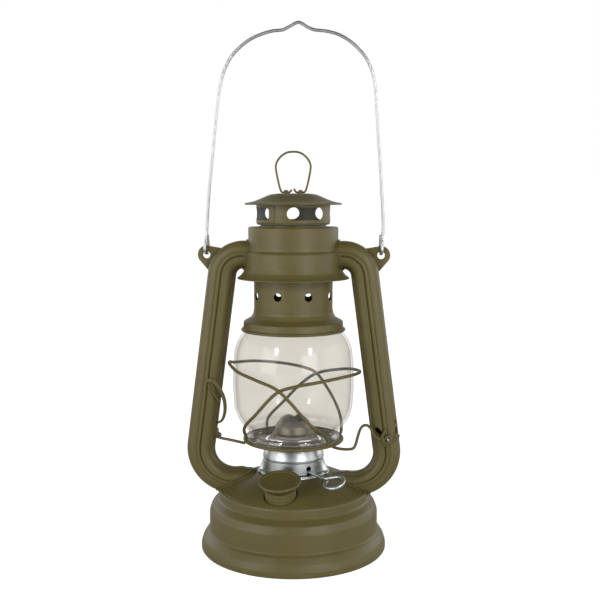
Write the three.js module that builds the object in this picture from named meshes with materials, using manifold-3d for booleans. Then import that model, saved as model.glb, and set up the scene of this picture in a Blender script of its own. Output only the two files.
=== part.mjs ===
// Hurricane lantern with a tall wire bail, a glass globe in a wire cage and a flat wick burner.
// Lengths are millimetres. +Z is up, the filler cap is at the front (-Y), the lever is on the right (+X).

import * as THREE from 'three';
import { mergeVertices } from 'three/addons/utils/BufferGeometryUtils.js';
import Module from 'manifold-3d';

const wasm = await Module();
wasm.setup();

// Counts that set how finely round shapes are divided
const largeSides = 24;
const mediumSides = 18;
const smallSides = 12;
const wireSides = 6;
const cutSides = 10;
const springSides = 5;

// Sheet metal and clearances
const sheetWall = 0.5;
const seatGap = 0.3;
const runningGap = 0.8;
const cutOverrun = 4;

// Fuel tank, measured from the floor up
const footRadius = 65;
const footLipHeight = 4;
const footLipWidth = 4.5;
const footHeight = 12.6;
const wallRadius = 59;
const wallHeight = 17;
const shoulderHeight = 6;
const bandRadius = 52.4;
const bandHeight = 6.4;
const domeRise = 11.6;
const domeHoleRadius = 22.6;
const ridgeInset = 1.1;
const tankFloorLift = 3.6;
const fuelPlateDrop = 4;

const footTop = footHeight;
const wallTop = footTop + wallHeight;
const shoulderTop = wallTop + shoulderHeight;
const ridgeLevel = shoulderTop + bandHeight;
const ridgeRadius = bandRadius - ridgeInset;
const domeTop = ridgeLevel + domeRise;

// Filler neck and its screw cap, on a tilted axis
const fillerReach = 38.5;
const fillerAzimuth = THREE.MathUtils.degToRad(-8.1);
const fillerTilt = THREE.MathUtils.degToRad(13.1);
const neckRadius = 10;
const neckWall = 0.7;
const neckHeight = 7.2;
const neckDepth = 12;
const neckBeadHeight = 1.1;
const neckBeadBulge = 0.4;
const neckBeadLift = 2;
const gasketThickness = 0.8;
const gasketBore = 5.5;
const capRadius = 14.4;
const capRimHeight = 2.2;
const capSkirtWall = 0.7;
const capSkirtDrop = 3;
const capTopWall = 0.8;
const capDish = 0.7;
const capDishRadius = 11.2;

// Burner
const burnerFlangeRadius = 24.2;
const burnerFlangeHeight = 1.2;
const burnerNeckDrop = 4;
const burnerCollarWall = 1.6;
const burnerRadius = 21.5;
const burnerLowerHeight = 8.6;
const burnerGroove = 0.6;
const burnerBeadHeight = 2;
const burnerTaperHeight = 3;
const burnerTopRadius = 19;
const burnerUpperHeight = 6.2;
const bayonetLength = 3;
const bayonetWidth = 5;
const bayonetHeight = 3.6;
const flameDomeRadius = 13.4;
const flameDomeFootRadius = 18;
const flameDomeStep = 5;
const flameDomeHeight = 13.2;
const flameSlotLength = 18;
const flameSlotWidth = 5;

// Wick, its tube and the raising shaft
const wickWidth = 15.5;
const wickThickness = 2;
const wickOffset = 2.1;
const wickTubeWall = 0.5;
const wickTail = 34;
const wickTubeTail = 9;
const wickTipDrop = 4.6;
const wickTubeTipDrop = 6.2;
const shaftRadius = 0.9;
const shaftLift = 2.4;
const shaftAzimuth = THREE.MathUtils.degToRad(41);
const shaftReach = 42.4;
const wheelRadius = 3;
const wheelHub = 1.6;
const wheelThickness = 2;
const wheelSpread = 4.4;
const wheelTeeth = 8;
const knobLoopRadius = 7.4;
const knobTilt = THREE.MathUtils.degToRad(22);
const knobGapAngle = THREE.MathUtils.degToRad(34);

// Globe plate and cage
const plateGap = 0.9;
const plateRadius = 35.3;
const plateRimRadius = 1;
const plateHoleRing = 29;
const plateHoleRadius = 1.5;
const plateHoleCount = 12;
const cageWireRadius = 0.8;

// Glass globe
const globeRadius = 42.2;
const globeHeight = 80.5;
const globeWall = 1.8;
const globeFootRadius = 32.6;
const globeTopRadius = 33;

// Chimney
const flangeRadius = 34.5;
const flangeRimRadius = 36.3;
const flangeRimHeight = 1.6;
const flangeOverlap = 4.4;
const flangeHeight = 6.6;
const flangeConeHeight = 4;
const chimneyRadius = 27.2;
const chimneyHeight = 35;
const ventRadius = 2.6;
const ventLift = 13.6;
const ventCount = 8;
const ventPhase = THREE.MathUtils.degToRad(27);
const throatRadius = 22.8;
const throatConeHeight = 3;
const throatHeight = 24;

// Canopy around the chimney
const skirtLevel = 190;
const skirtRadius = 38.5;
const skirtHeight = 7;
const canopyBandRadius = 33.3;
const canopyBandHeight = 11;
const canopyBeadHeight = 1.6;
const canopyRadius = 31;
const canopyHeight = 15.8;

// Crown on top of the chimney
const crownRadius = 25.4;
const crownHeight = 13.6;
const crownFloorBore = 21.4;
const windowWidth = 26;
const windowHeight = 8.6;
const windowLift = 7.6;
const windowCount = 4;
const windowPhase = THREE.MathUtils.degToRad(26);
const hoodRadius = 33.4;
const hoodHeight = 7.2;

// Lift ring on the hood
const ringWireRadius = 0.7;
const ringFootSpan = 8;
const ringBellySpan = 12.3;
const ringHeight = 27.4;
const ringTipHeight = 3.4;
const ringTipSpread = 2;
const bridgeWidth = 2.6;
const bridgeWall = 0.6;

// Spring between the chimney and the canopy
const springWireRadius = 0.6;
const springTurns = 3;
const springStepsPerTurn = 16;

// Side tubes
const tubeWidth = 19.4;
const tubeDepth = 20;
const tubeCorner = 6.5;
const tubeWall = 0.6;
const tubeTopBend = 14.5;
const tubeTopRun = 1.4;
const tubeTopDrop = 0.6;
const tubeLowBend = 22.8;
const tubeLowRun = 7.6;
const tubeSlant = THREE.MathUtils.degToRad(7.64);
const tubeInwardTilt = THREE.MathUtils.degToRad(13);
const tubeFlatRightShare = 0.66;
const tubeFlatLeftShare = 0.84;
const tubeLowReach = 42.7;
const tubeLowRise = 5.2;

// Ears and bail
const earReach = 4.91;
const earHeading = THREE.MathUtils.degToRad(29.65);
const earThickness = 1.2;
const earRadius = 6;
const earHoleRadius = 2.6;
const bailWireRadius = 1;
const bailEyeRadius = 3.3;
const bailEyeHeight = 11;
const bailHeight = 152.5;

// Lever, arm and guide wires
const leverWireRadius = 0.85;
const leverPivotOffset = 1.95;
const leverPivotLevel = 80.1;
const leverTail = 5.4;
const leverTipReach = 27.5;
const leverSag = 3.4;
const leverHump = 9.6;
const leverStandOff = 0.6;
const rivetRadius = 0.9;
const rivetHeadRadius = 1.6;
const rivetHeadHeight = 0.9;
const stapleWireRadius = 0.6;
const stapleHeight = 8.4;
const armPivotInset = 1.9;
const armPivotLevel = 78;
const armForward = 10;
const bossSize = 5.2;
const bossBore = 1.15;
const bossWall = 0.5;
const guideTop = 118;
const guideHeight = 30;
const guideBulge = 3.4;
const guideWireRadius = 0.9;

// Levels that follow from the sizes above
const burnerBase = domeTop + seatGap;
const burnerFoot = burnerBase + burnerFlangeHeight + seatGap;
const burnerGrooveLevel = burnerFoot + burnerLowerHeight;
const burnerTop = burnerGrooveLevel + burnerGroove + burnerBeadHeight + burnerTaperHeight + burnerUpperHeight;
const shaftLevel = burnerFoot + shaftLift;
const flameDomeBase = burnerTop + seatGap;
const flameDomeTop = flameDomeBase + flameDomeStep + flameDomeHeight;
const plateLevel = burnerTop + plateGap;
const plateTop = plateLevel + sheetWall;
const globeBase = plateTop + seatGap;
const globeTop = globeBase + globeHeight;
const flangeBase = globeTop - flangeOverlap;
const flangeTop = flangeBase + flangeHeight;
const chimneyBase = flangeTop + flangeConeHeight + seatGap;
const chimneyShoulder = chimneyBase + chimneyHeight;
const throatBase = chimneyShoulder + throatConeHeight;
const throatTop = throatBase + throatHeight;
const canopyBandBase = skirtLevel + skirtHeight;
const canopyBandTop = canopyBandBase + canopyBandHeight;
const canopyBase = canopyBandTop + canopyBeadHeight;
const canopyTop = canopyBase + canopyHeight;
const crownBase = throatTop + seatGap;
const crownTop = crownBase + crownHeight;
const hoodBase = crownTop + seatGap;
const hoodTop = hoodBase + hoodHeight;
const tubeTopLevel = canopyBandBase + tubeWidth / 2 - tubeTopDrop;
const tubeTopStart = canopyBandRadius + seatGap;
// The straight slanted run of a side tube touches both bends
const tubeTopCentre = [tubeTopStart + tubeTopRun, tubeTopLevel - tubeTopBend];
const tubeLowCentre = [tubeLowReach, ridgeLevel + tubeLowRise + tubeLowBend];

// An ear stands off the outer face of its tube's top bend
const earStandOff = tubeTopBend + tubeWidth / 2 + earReach;
const earSpan = tubeTopCentre[0] + earStandOff * Math.cos(earHeading);
const earLevel = tubeTopCentre[1] + earStandOff * Math.sin(earHeading);
const leverPivotSpan = tubeCentreAt(leverPivotLevel) + leverPivotOffset;
const bailPivotLevel = earLevel + bailEyeRadius + bailWireRadius;

const paint = { color: 0x69613f, roughness: 0.6, metalness: 0.1 };
const zinc = { color: 0xc9cfcb, roughness: 0.3, metalness: 0.9 };
const glassFinish = { color: 0xe6e4dc, roughness: 0.05, metalness: 0, transparent: true, opacity: 0.35 };
const cotton = { color: 0xe9e3d2, roughness: 0.95, metalness: 0 };
const rubber = { color: 0x26241f, roughness: 0.8, metalness: 0 };

// Shape helpers

function welded(geometry) {
  const bare = geometry.clone();
  bare.deleteAttribute('normal');
  bare.deleteAttribute('uv');
  const merged = mergeVertices(bare, seatGap / 1000);
  const index = merged.index.array;
  const kept = [];
  for (let i = 0; i < index.length; i += 3) {
    const [a, b, c] = [index[i], index[i + 1], index[i + 2]];
    if (a !== b && b !== c && c !== a) kept.push(a, b, c);
  }
  merged.setIndex(kept);
  return merged;
}

function solid(geometry) {
  const mesh = welded(geometry);
  const vertProperties = new Float32Array(mesh.attributes.position.array);
  const triVerts = new Uint32Array(mesh.index.array);
  const first = new wasm.Manifold(new wasm.Mesh({ numProp: 3, vertProperties, triVerts }));
  if (first.volume() > 0) return first;
  for (let i = 0; i < triVerts.length; i += 3) {
    [triVerts[i + 1], triVerts[i + 2]] = [triVerts[i + 2], triVerts[i + 1]];
  }
  return new wasm.Manifold(new wasm.Mesh({ numProp: 3, vertProperties, triVerts }));
}

function geometryOf(body) {
  const mesh = body.getMesh();
  const geometry = new THREE.BufferGeometry();
  geometry.setAttribute('position', new THREE.BufferAttribute(new Float32Array(mesh.vertProperties), 3));
  geometry.setIndex(new THREE.BufferAttribute(new Uint32Array(mesh.triVerts), 1));
  geometry.computeVertexNormals();
  return geometry;
}

function cut(body, ...tools) {
  return tools.reduce((rest, tool) => rest.subtract(tool), body);
}

function join(body, ...others) {
  return others.reduce((sum, other) => sum.add(other), body);
}

function turned(outline, sides) {
  const points = outline.map(([radius, level]) => new THREE.Vector2(radius, level));
  const onAxis = outline[0][0] === 0 && outline[outline.length - 1][0] === 0;
  if (!onAxis) points.push(points[0].clone());
  return solid(new THREE.LatheGeometry(points, sides).rotateX(Math.PI / 2));
}

// Sheet metal turned about Z: the line is the outer face, and the wall lies on the side named by inward
function turnedSheet(line, wall, sides, inward = 1) {
  const normals = line.slice(1).map(([radius, level], i) => {
    const step = new THREE.Vector2(radius - line[i][0], level - line[i][1]).normalize();
    return new THREE.Vector2(-step.y, step.x).multiplyScalar(inward);
  });
  const inner = line.map(([radius, level], i) => {
    const before = normals[Math.max(i - 1, 0)];
    const after = normals[Math.min(i, normals.length - 1)];
    const mitre = before.clone().add(after).divideScalar(1 + before.dot(after));
    const innerRadius = radius === 0 ? 0 : radius + mitre.x * wall;
    return [innerRadius, level + mitre.y * wall];
  });
  return turned([...line, ...inner.reverse()], sides);
}

function rod(radius, length, sides) {
  return new THREE.CylinderGeometry(radius, radius, length, sides);
}

function uprightRod(radius, low, high, sides) {
  const length = high - low;
  return solid(rod(radius, length, sides).rotateX(Math.PI / 2).translate(0, 0, low + length / 2));
}

function block(low, high) {
  const size = high.map((value, i) => value - low[i]);
  const centre = high.map((value, i) => (value + low[i]) / 2);
  return solid(new THREE.BoxGeometry(...size).translate(...centre));
}

function circleShape(radius, sides) {
  const shape = new THREE.Shape();
  for (let i = 0; i < sides; i += 1) {
    const angle = (i + 0.5) * 2 * Math.PI / sides;
    const [x, y] = [radius * Math.cos(angle), radius * Math.sin(angle)];
    if (i === 0) shape.moveTo(x, y);
    else shape.lineTo(x, y);
  }
  shape.closePath();
  return shape;
}

class PolylinePath extends THREE.Curve {
  constructor(points) {
    super();
    this.points = points;
    this.smooth = new THREE.CatmullRomCurve3(points, false, 'centripetal');
  }

  getPoint(share, target = new THREE.Vector3()) {
    return this.smooth.getPoint(share, target);
  }
}

function wire(points, radius, steps, sides = wireSides) {
  const path = new PolylinePath(points.map((point) => new THREE.Vector3(...point)));
  const geometry = new THREE.ExtrudeGeometry(circleShape(radius, sides), {
    steps,
    bevelEnabled: false,
    extrudePath: path,
  });
  return solid(geometry);
}

// Fuel tank

function tankProfile() {
  return [
    [footRadius - footLipWidth, 0],
    [footRadius - sheetWall * 2, 0],
    [footRadius, footLipHeight / 4],
    [footRadius, footLipHeight],
    [(footRadius + wallRadius) / 2 + footLipHeight / 4, footHeight * 0.82],
    [wallRadius, footTop],
    [wallRadius, wallTop - shoulderHeight / 3],
    [wallRadius - (wallRadius - bandRadius) / 4, wallTop + shoulderHeight / 3],
    [bandRadius, shoulderTop],
    [ridgeRadius + ridgeInset / 2, ridgeLevel - sheetWall],
    [ridgeRadius, ridgeLevel],
  ];
}

function domeLevelShareAt(share) {
  return Math.sin(share * Math.PI / 2.4) / Math.sin(Math.PI / 2.4);
}

function domeProfile(lift = 0, outerRadius = ridgeRadius) {
  const steps = 4;
  const line = [];
  for (let i = 0; i <= steps; i += 1) {
    const share = i / steps;
    const radius = outerRadius + (domeHoleRadius - outerRadius) * share;
    line.push([radius, ridgeLevel + seatGap + domeRise * domeLevelShareAt(share) + lift - seatGap * share]);
  }
  return line;
}

// The outside of tank and dome together, as one plug that trims what stands on them
function tankEnvelope() {
  const side = tankProfile().map(([radius, level]) => [radius + seatGap, level + seatGap]);
  const top = domeProfile(seatGap, ridgeRadius + seatGap);
  return turned([[0, -cutOverrun], [footRadius, -cutOverrun], ...side, ...top, [0, domeTop + seatGap]], largeSides);
}

function tankShell() {
  return turnedSheet(tankProfile(), sheetWall, largeSides);
}

function tankFloor() {
  const seam = footRadius - footLipWidth / 2;
  const seamLevel = sheetWall * 2 + seatGap;
  return turnedSheet([
    [seam, seamLevel],
    [seam - footLipWidth, tankFloorLift],
    [0, tankFloorLift],
  ], sheetWall, largeSides);
}

function fuelPlate() {
  const level = ridgeLevel - fuelPlateDrop;
  const rim = bandRadius - sheetWall - seatGap - ridgeInset;
  const bore = burnerRadius - burnerCollarWall * 2;
  const plate = turnedSheet([
    [rim, level - fuelPlateDrop / 2],
    [rim, level],
    [bore, level + fuelPlateDrop / 2],
    [bore, domeTop - burnerNeckDrop],
  ], sheetWall, largeSides);
  return cut(plate, fillerSolid(neckRadius + seatGap, -neckDepth - cutOverrun, neckHeight, mediumSides));
}

function tankDome() {
  const dome = turnedSheet(domeProfile(), sheetWall, largeSides);
  return cut(
    dome,
    fillerSolid(neckRadius + seatGap, -neckDepth - cutOverrun, neckHeight, mediumSides),
    sideTubeCore(1),
    sideTubeCore(-1),
  );
}

// Filler neck, gasket and cap stand on one tilted axis

function domeLevelAt(radius) {
  const share = (ridgeRadius - radius) / (ridgeRadius - domeHoleRadius);
  return ridgeLevel + domeRise * domeLevelShareAt(share);
}

function onFillerAxis(body) {
  const tilt = new THREE.Matrix4().makeRotationX(fillerTilt);
  const shift = new THREE.Matrix4().makeTranslation(0, -fillerReach, domeLevelAt(fillerReach));
  const azimuth = new THREE.Matrix4().makeRotationZ(fillerAzimuth);
  return body.transform(azimuth.multiply(shift).multiply(tilt).toArray());
}

function fillerSolid(radius, low, high, sides) {
  return onFillerAxis(uprightRod(radius, low, high, sides));
}

function fillerNeck() {
  const bore = neckRadius - neckWall;
  const lowBead = neckBeadLift;
  const highBead = lowBead + neckBeadHeight * 1.5;
  return onFillerAxis(turned([
    [bore, -neckDepth],
    [neckRadius, -neckDepth],
    [neckRadius, lowBead],
    [neckRadius + neckBeadBulge, lowBead + neckBeadHeight / 2],
    [neckRadius, lowBead + neckBeadHeight],
    [neckRadius, highBead],
    [neckRadius, neckHeight],
    [bore, neckHeight],
  ], mediumSides));
}

function fillerGasket() {
  const low = neckHeight + seatGap;
  const high = low + gasketThickness;
  return onFillerAxis(turned([
    [gasketBore, low],
    [neckRadius, low],
    [neckRadius, high],
    [gasketBore, high],
  ], mediumSides));
}

function fillerCap() {
  const underside = neckHeight + gasketThickness + seatGap * 2;
  const top = underside + capTopWall;
  const rimTop = top + capDish;
  const rimLow = rimTop - capRimHeight;
  const skirtBore = neckRadius + neckBeadBulge + seatGap;
  const skirtRadiusOut = skirtBore + capSkirtWall;
  const skirtLow = underside - capSkirtDrop;
  return onFillerAxis(turned([
    [0, underside],
    [skirtBore, underside],
    [skirtBore, skirtLow],
    [skirtRadiusOut, skirtLow],
    [skirtRadiusOut + capSkirtWall, rimLow - capSkirtWall],
    [capRadius, rimLow],
    [capRadius, rimTop],
    [capDishRadius, rimTop],
    [capDishRadius - capDish, top],
    [0, top],
  ], mediumSides));
}

// Burner

function burnerCollar() {
  const bore = burnerRadius - burnerCollarWall;
  const neck = domeHoleRadius - seatGap - sheetWall;
  const ring = turned([
    [bore, burnerBase - burnerNeckDrop],
    [neck, burnerBase - burnerNeckDrop],
    [neck, burnerBase],
    [burnerFlangeRadius, burnerBase],
    [burnerFlangeRadius, burnerBase + burnerFlangeHeight],
    [bore, burnerBase + burnerFlangeHeight],
  ], mediumSides);
  const near = burnerRadius + seatGap * 2;
  const far = near + bayonetLength;
  const low = burnerBase + burnerFlangeHeight / 2;
  const tab = (side) => block(
    [Math.min(side * near, side * far), -bayonetWidth / 2, low],
    [Math.max(side * near, side * far), bayonetWidth / 2, low + bayonetHeight],
  );
  return join(ring, tab(1), tab(-1));
}

function burnerBody() {
  const taperBase = burnerGrooveLevel + burnerGroove + burnerBeadHeight;
  const shell = turnedSheet([
    [burnerRadius, burnerFoot],
    [burnerRadius, burnerGrooveLevel],
    [burnerRadius - burnerGroove, burnerGrooveLevel + burnerGroove / 2],
    [burnerRadius + sheetWall / 2, burnerGrooveLevel + burnerGroove],
    [burnerRadius, taperBase],
    [burnerTopRadius, taperBase + burnerTaperHeight],
    [burnerTopRadius, burnerTop],
    [wickWidth * 0.4, burnerTop],
  ], sheetWall, mediumSides);
  return cut(shell, wickTubeBlock(seatGap), shaftExit());
}

// Things in the wick's frame: width along the shaft, thickness across it
function inWickFrame(body) {
  const turn = new THREE.Matrix4().makeRotationZ(shaftAzimuth - Math.PI / 2);
  return body.transform(turn.toArray());
}

function wickTubeBlock(clearance) {
  const halfWidth = wickWidth / 2 + seatGap + wickTubeWall + clearance;
  const halfDepth = wickThickness / 2 + seatGap + wickTubeWall + clearance;
  return inWickFrame(block(
    [-halfWidth, wickOffset - halfDepth, 0],
    [halfWidth, wickOffset + halfDepth, flameDomeTop],
  ));
}

function wickTube() {
  const low = burnerFoot - wickTubeTail;
  const high = flameDomeTop - wickTubeTipDrop;
  const halfWidth = wickWidth / 2 + seatGap;
  const halfDepth = wickThickness / 2 + seatGap;
  const outer = block(
    [-halfWidth - wickTubeWall, wickOffset - halfDepth - wickTubeWall, low],
    [halfWidth + wickTubeWall, wickOffset + halfDepth + wickTubeWall, high],
  );
  const bore = block(
    [-halfWidth, wickOffset - halfDepth, low - cutOverrun],
    [halfWidth, wickOffset + halfDepth, high + cutOverrun],
  );
  const reach = wheelRadius + seatGap * 2;
  const window = block(
    [-wheelSpread - wheelThickness, wickOffset - halfDepth - cutOverrun, shaftLevel - reach],
    [wheelSpread + wheelThickness, wickOffset, shaftLevel + reach],
  );
  return inWickFrame(cut(outer, bore, window));
}

function wick() {
  const low = burnerFoot - wickTail;
  const high = flameDomeTop - wickTipDrop;
  return inWickFrame(block(
    [-wickWidth / 2, wickOffset - wickThickness / 2, low],
    [wickWidth / 2, wickOffset + wickThickness / 2, high],
  ));
}

function shaftOffset() {
  return wickThickness / 2 + seatGap + wheelRadius - wickOffset;
}

// A hole with a slot below it, where the shaft leaves the burner
function shaftExit() {
  const hole = solid(
    rod(shaftRadius + seatGap * 2, burnerRadius + cutOverrun, cutSides)
      .rotateZ(Math.PI / 2)
      .translate((burnerRadius + cutOverrun) / 2, -shaftOffset(), shaftLevel),
  );
  const slot = block(
    [0, -shaftOffset() - shaftRadius, shaftLevel - shaftLift - cutOverrun],
    [burnerRadius + cutOverrun, -shaftOffset() + shaftRadius, shaftLevel],
  );
  return inWickFrame(join(hole, slot));
}

// One bent wire: the shaft inside the burner and the finger loop outside it
function wickShaft() {
  const inner = -wheelSpread - wheelThickness - shaftRadius;
  const points = [[inner, 0, 0], [0, 0, 0], [burnerRadius, 0, 0], [shaftReach - knobLoopRadius / 2, 0, 0]];
  const steps = 12;
  const start = Math.PI + knobGapAngle / 3;
  const sweep = 2 * Math.PI - knobGapAngle * 1.6;
  const centre = shaftReach + knobLoopRadius;
  for (let i = 1; i <= steps; i += 1) {
    const angle = start - sweep * i / steps;
    const across = knobLoopRadius * Math.sin(angle);
    points.push([
      centre + knobLoopRadius * Math.cos(angle),
      across * Math.cos(knobTilt),
      across * Math.sin(knobTilt),
    ]);
  }
  const placed = points.map(([x, y, z]) => [x, y - shaftOffset(), z + shaftLevel]);
  return inWickFrame(wire(placed, shaftRadius, 36));
}

function wickWheel(side) {
  const shape = new THREE.Shape();
  for (let i = 0; i < wheelTeeth * 2; i += 1) {
    const angle = i * Math.PI / wheelTeeth;
    const radius = i % 2 === 0 ? wheelRadius : wheelRadius * 0.72;
    const [x, y] = [radius * Math.cos(angle), radius * Math.sin(angle)];
    if (i === 0) shape.moveTo(x, y);
    else shape.lineTo(x, y);
  }
  shape.closePath();
  const bore = new THREE.Path();
  bore.absarc(0, 0, wheelHub - seatGap * 1.3, 0, 2 * Math.PI, true);
  shape.holes.push(bore);
  const geometry = new THREE.ExtrudeGeometry(shape, {
    depth: wheelThickness,
    bevelEnabled: false,
    curveSegments: 4,
  });
  geometry.rotateY(Math.PI / 2);
  geometry.translate(side * wheelSpread - wheelThickness / 2, -shaftOffset(), shaftLevel);
  return inWickFrame(solid(geometry));
}

function flameDome() {
  const steps = 4;
  const stepLevel = flameDomeBase + flameDomeStep;
  const line = [
    [flameDomeFootRadius, flameDomeBase],
    [flameDomeFootRadius - sheetWall * 2, flameDomeBase + flameDomeStep / 2],
    [flameDomeRadius, stepLevel],
  ];
  for (let i = 1; i < steps; i += 1) {
    const angle = i / steps * Math.PI / 2;
    line.push([flameDomeRadius * Math.cos(angle), stepLevel + flameDomeHeight * Math.sin(angle)]);
  }
  line.push([0, stepLevel + flameDomeHeight]);
  const slot = inWickFrame(block(
    [-flameSlotLength / 2, wickOffset - flameSlotWidth / 2, stepLevel + flameDomeHeight / 3],
    [flameSlotLength / 2, wickOffset + flameSlotWidth / 2, flameDomeTop + cutOverrun],
  ));
  return cut(turnedSheet(line, sheetWall, mediumSides), slot);
}

// Globe plate, globe and cage move together

function globePlate() {
  const bore = flameDomeFootRadius + runningGap * 2;
  const rimCentre = plateRadius - plateRimRadius;
  const plate = turned([
    [bore, plateLevel],
    [rimCentre - plateRimRadius, plateLevel],
    [rimCentre, plateLevel - plateRimRadius / 2],
    [plateRadius, plateLevel],
    [plateRadius, plateLevel + plateRimRadius],
    [rimCentre, plateLevel + plateRimRadius * 1.5],
    [rimCentre - plateRimRadius, plateLevel + plateRimRadius],
    [rimCentre - plateRimRadius, plateTop],
    [bore, plateTop],
  ], largeSides);
  const holes = [];
  for (let i = 0; i < plateHoleCount; i += 1) {
    const angle = i * 2 * Math.PI / plateHoleCount;
    const hole = uprightRod(plateHoleRadius, plateLevel - cutOverrun, plateTop + cutOverrun, 6);
    holes.push(hole.translate([plateHoleRing * Math.cos(angle), plateHoleRing * Math.sin(angle), 0]));
  }
  return cut(plate, ...holes);
}

// Shares of the globe's radius and height, from the foot to the top rim
const globeOuterShares = [
  [0.735, 0.075],
  [0.822, 0.118],
  [0.94, 0.215],
  [0.99, 0.33],
  [1, 0.5],
  [0.99, 0.72],
  [0.93, 0.845],
  [0.85, 0.92],
];

function globe() {
  const outer = globeOuterShares.map(([radiusShare, heightShare]) => [
    globeRadius * radiusShare,
    globeBase + globeHeight * heightShare,
  ]);
  const line = [
    [globeFootRadius, globeBase],
    [globeFootRadius, globeBase + globeWall],
    ...outer,
    [globeTopRadius, flangeBase + flangeRimHeight / 2],
    [globeTopRadius, globeTop],
  ];
  return turnedSheet(line, globeWall, largeSides);
}

// Turn in degrees, share of the globe's height and share of its radius, from one end at the plate to the other
const cageRightShares = [
  [47, 0, 0.82],
  [46.1, 0.037, 0.829],
  [34, 0.129, 0.924],
  [19.9, 0.219, 0.993],
  [1.2, 0.424, 1.057],
  [-9, 0.519, 1.08],
  [-29.4, 0.584, 1.066],
  [-51.7, 0.622, 1.062],
  [-70.6, 0.656, 1.062],
  [-90, 0.651, 1.062],
  [-103.4, 0.625, 1.062],
  [-136.2, 0.593, 1.062],
  [-163.8, 0.554, 1.071],
  [-183.3, 0.516, 1.08],
  [-196, 0.471, 1.08],
  [-209.3, 0.337, 1.057],
  [-225.8, 0.185, 0.983],
  [-238.1, 0.094, 0.912],
  [-250.4, 0.025, 0.834],
  [-252, 0, 0.82],
];

const cageLeftShares = [
  [-66, 0, 0.82],
  [-64.5, 0.03, 0.829],
  [-56.4, 0.12, 0.91],
  [-30.4, 0.291, 1.024],
  [-9, 0.492, 1.033],
  [4.5, 0.539, 1.047],
  [28.6, 0.576, 1.071],
  [65.9, 0.591, 1.09],
  [90, 0.576, 1.1],
  [107.6, 0.563, 1.095],
  [127.7, 0.542, 1.071],
  [162, 0.463, 1.033],
  [176.7, 0.366, 1.033],
  [194.4, 0.204, 1],
  [212.5, 0.082, 0.912],
  [217.7, 0.042, 0.848],
  [219, 0, 0.82],
];

function cageWire(routeShares) {
  const foot = plateLevel + plateRimRadius * 1.5 + seatGap;
  const points = routeShares.map(([turn, heightShare, radiusShare]) => {
    const azimuth = THREE.MathUtils.degToRad(turn);
    const radius = globeRadius * radiusShare;
    return [radius * Math.sin(azimuth), -radius * Math.cos(azimuth), foot + globeHeight * heightShare];
  });
  return wire(points, cageWireRadius, 44);
}

// Chimney and crown lift together

function chimneyFlange() {
  const rimLow = flangeBase;
  return turnedSheet([
    [flangeRimRadius, rimLow],
    [flangeRimRadius, rimLow + flangeRimHeight / 2],
    [flangeRadius, rimLow + flangeRimHeight],
    [flangeRadius, flangeTop],
    [chimneyRadius, flangeTop + flangeConeHeight],
    [chimneyRadius - sheetWall * 3, flangeTop + flangeConeHeight],
  ], sheetWall, largeSides);
}

function chimneyTube() {
  const body = turnedSheet([
    [chimneyRadius, chimneyBase],
    [chimneyRadius, chimneyShoulder],
    [throatRadius, throatBase],
    [throatRadius, throatTop],
  ], sheetWall, largeSides);
  const vents = [];
  for (let i = 0; i < ventCount / 2; i += 1) {
    const azimuth = ventPhase + i * 2 * Math.PI / ventCount;
    const vent = rod(ventRadius, chimneyRadius * 2 + cutOverrun, cutSides);
    vents.push(solid(vent.rotateZ(azimuth).translate(0, 0, chimneyBase + ventLift)));
  }
  return cut(body, ...vents);
}

// Shares of the hood's radius and height, from the rim to the flat top
const hoodShares = [
  [1, 0],
  [0.94, 0.14],
  [0.79, 0.42],
  [0.62, 0.74],
  [0.5, 0.96],
];

// Level of the hood's underside at a radius
function hoodUnderside(radius) {
  const share = radius / hoodRadius;
  const place = hoodShares.findIndex(([radiusShare]) => radiusShare < share);
  const [outerShare, lowShare] = hoodShares[place - 1];
  const [innerShare, highShare] = hoodShares[place];
  const mix = (outerShare - share) / (outerShare - innerShare);
  const rise = (hoodHeight - sheetWall) * (lowShare + (highShare - lowShare) * mix);
  return hoodBase + rise - sheetWall / 4;
}

function crownDrum() {
  const drum = turnedSheet([
    [crownFloorBore, crownBase],
    [crownRadius - sheetWall, crownBase],
    [crownRadius, crownBase + sheetWall],
    [crownRadius, hoodUnderside(crownRadius) - seatGap],
  ], sheetWall, largeSides);
  const opening = new THREE.Shape();
  const round = windowHeight / 2;
  const straight = windowWidth / 2 - round;
  opening.absarc(straight, 0, round, -Math.PI / 2, Math.PI / 2, false);
  opening.absarc(-straight, 0, round, Math.PI / 2, Math.PI * 1.5, false);
  opening.closePath();
  const windows = [];
  for (let i = 0; i < windowCount; i += 1) {
    const azimuth = windowPhase + i * 2 * Math.PI / windowCount;
    const prism = new THREE.ExtrudeGeometry(opening, {
      depth: crownRadius,
      bevelEnabled: false,
      curveSegments: 5,
    });
    prism.rotateX(Math.PI / 2);
    prism.translate(0, -crownRadius / 2 + windowHeight / 2, crownBase + windowLift);
    windows.push(solid(prism.rotateZ(azimuth)));
  }
  return cut(drum, ...windows);
}

function crownHood() {
  const line = hoodShares.map(([radiusShare, heightShare]) => [
    hoodRadius * radiusShare,
    hoodBase + sheetWall + (hoodHeight - sheetWall) * heightShare,
  ]);
  return turnedSheet([...line, [0, hoodTop]], sheetWall, largeSides);
}

const ringAxisLevel = hoodTop + seatGap + ringWireRadius;

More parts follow.
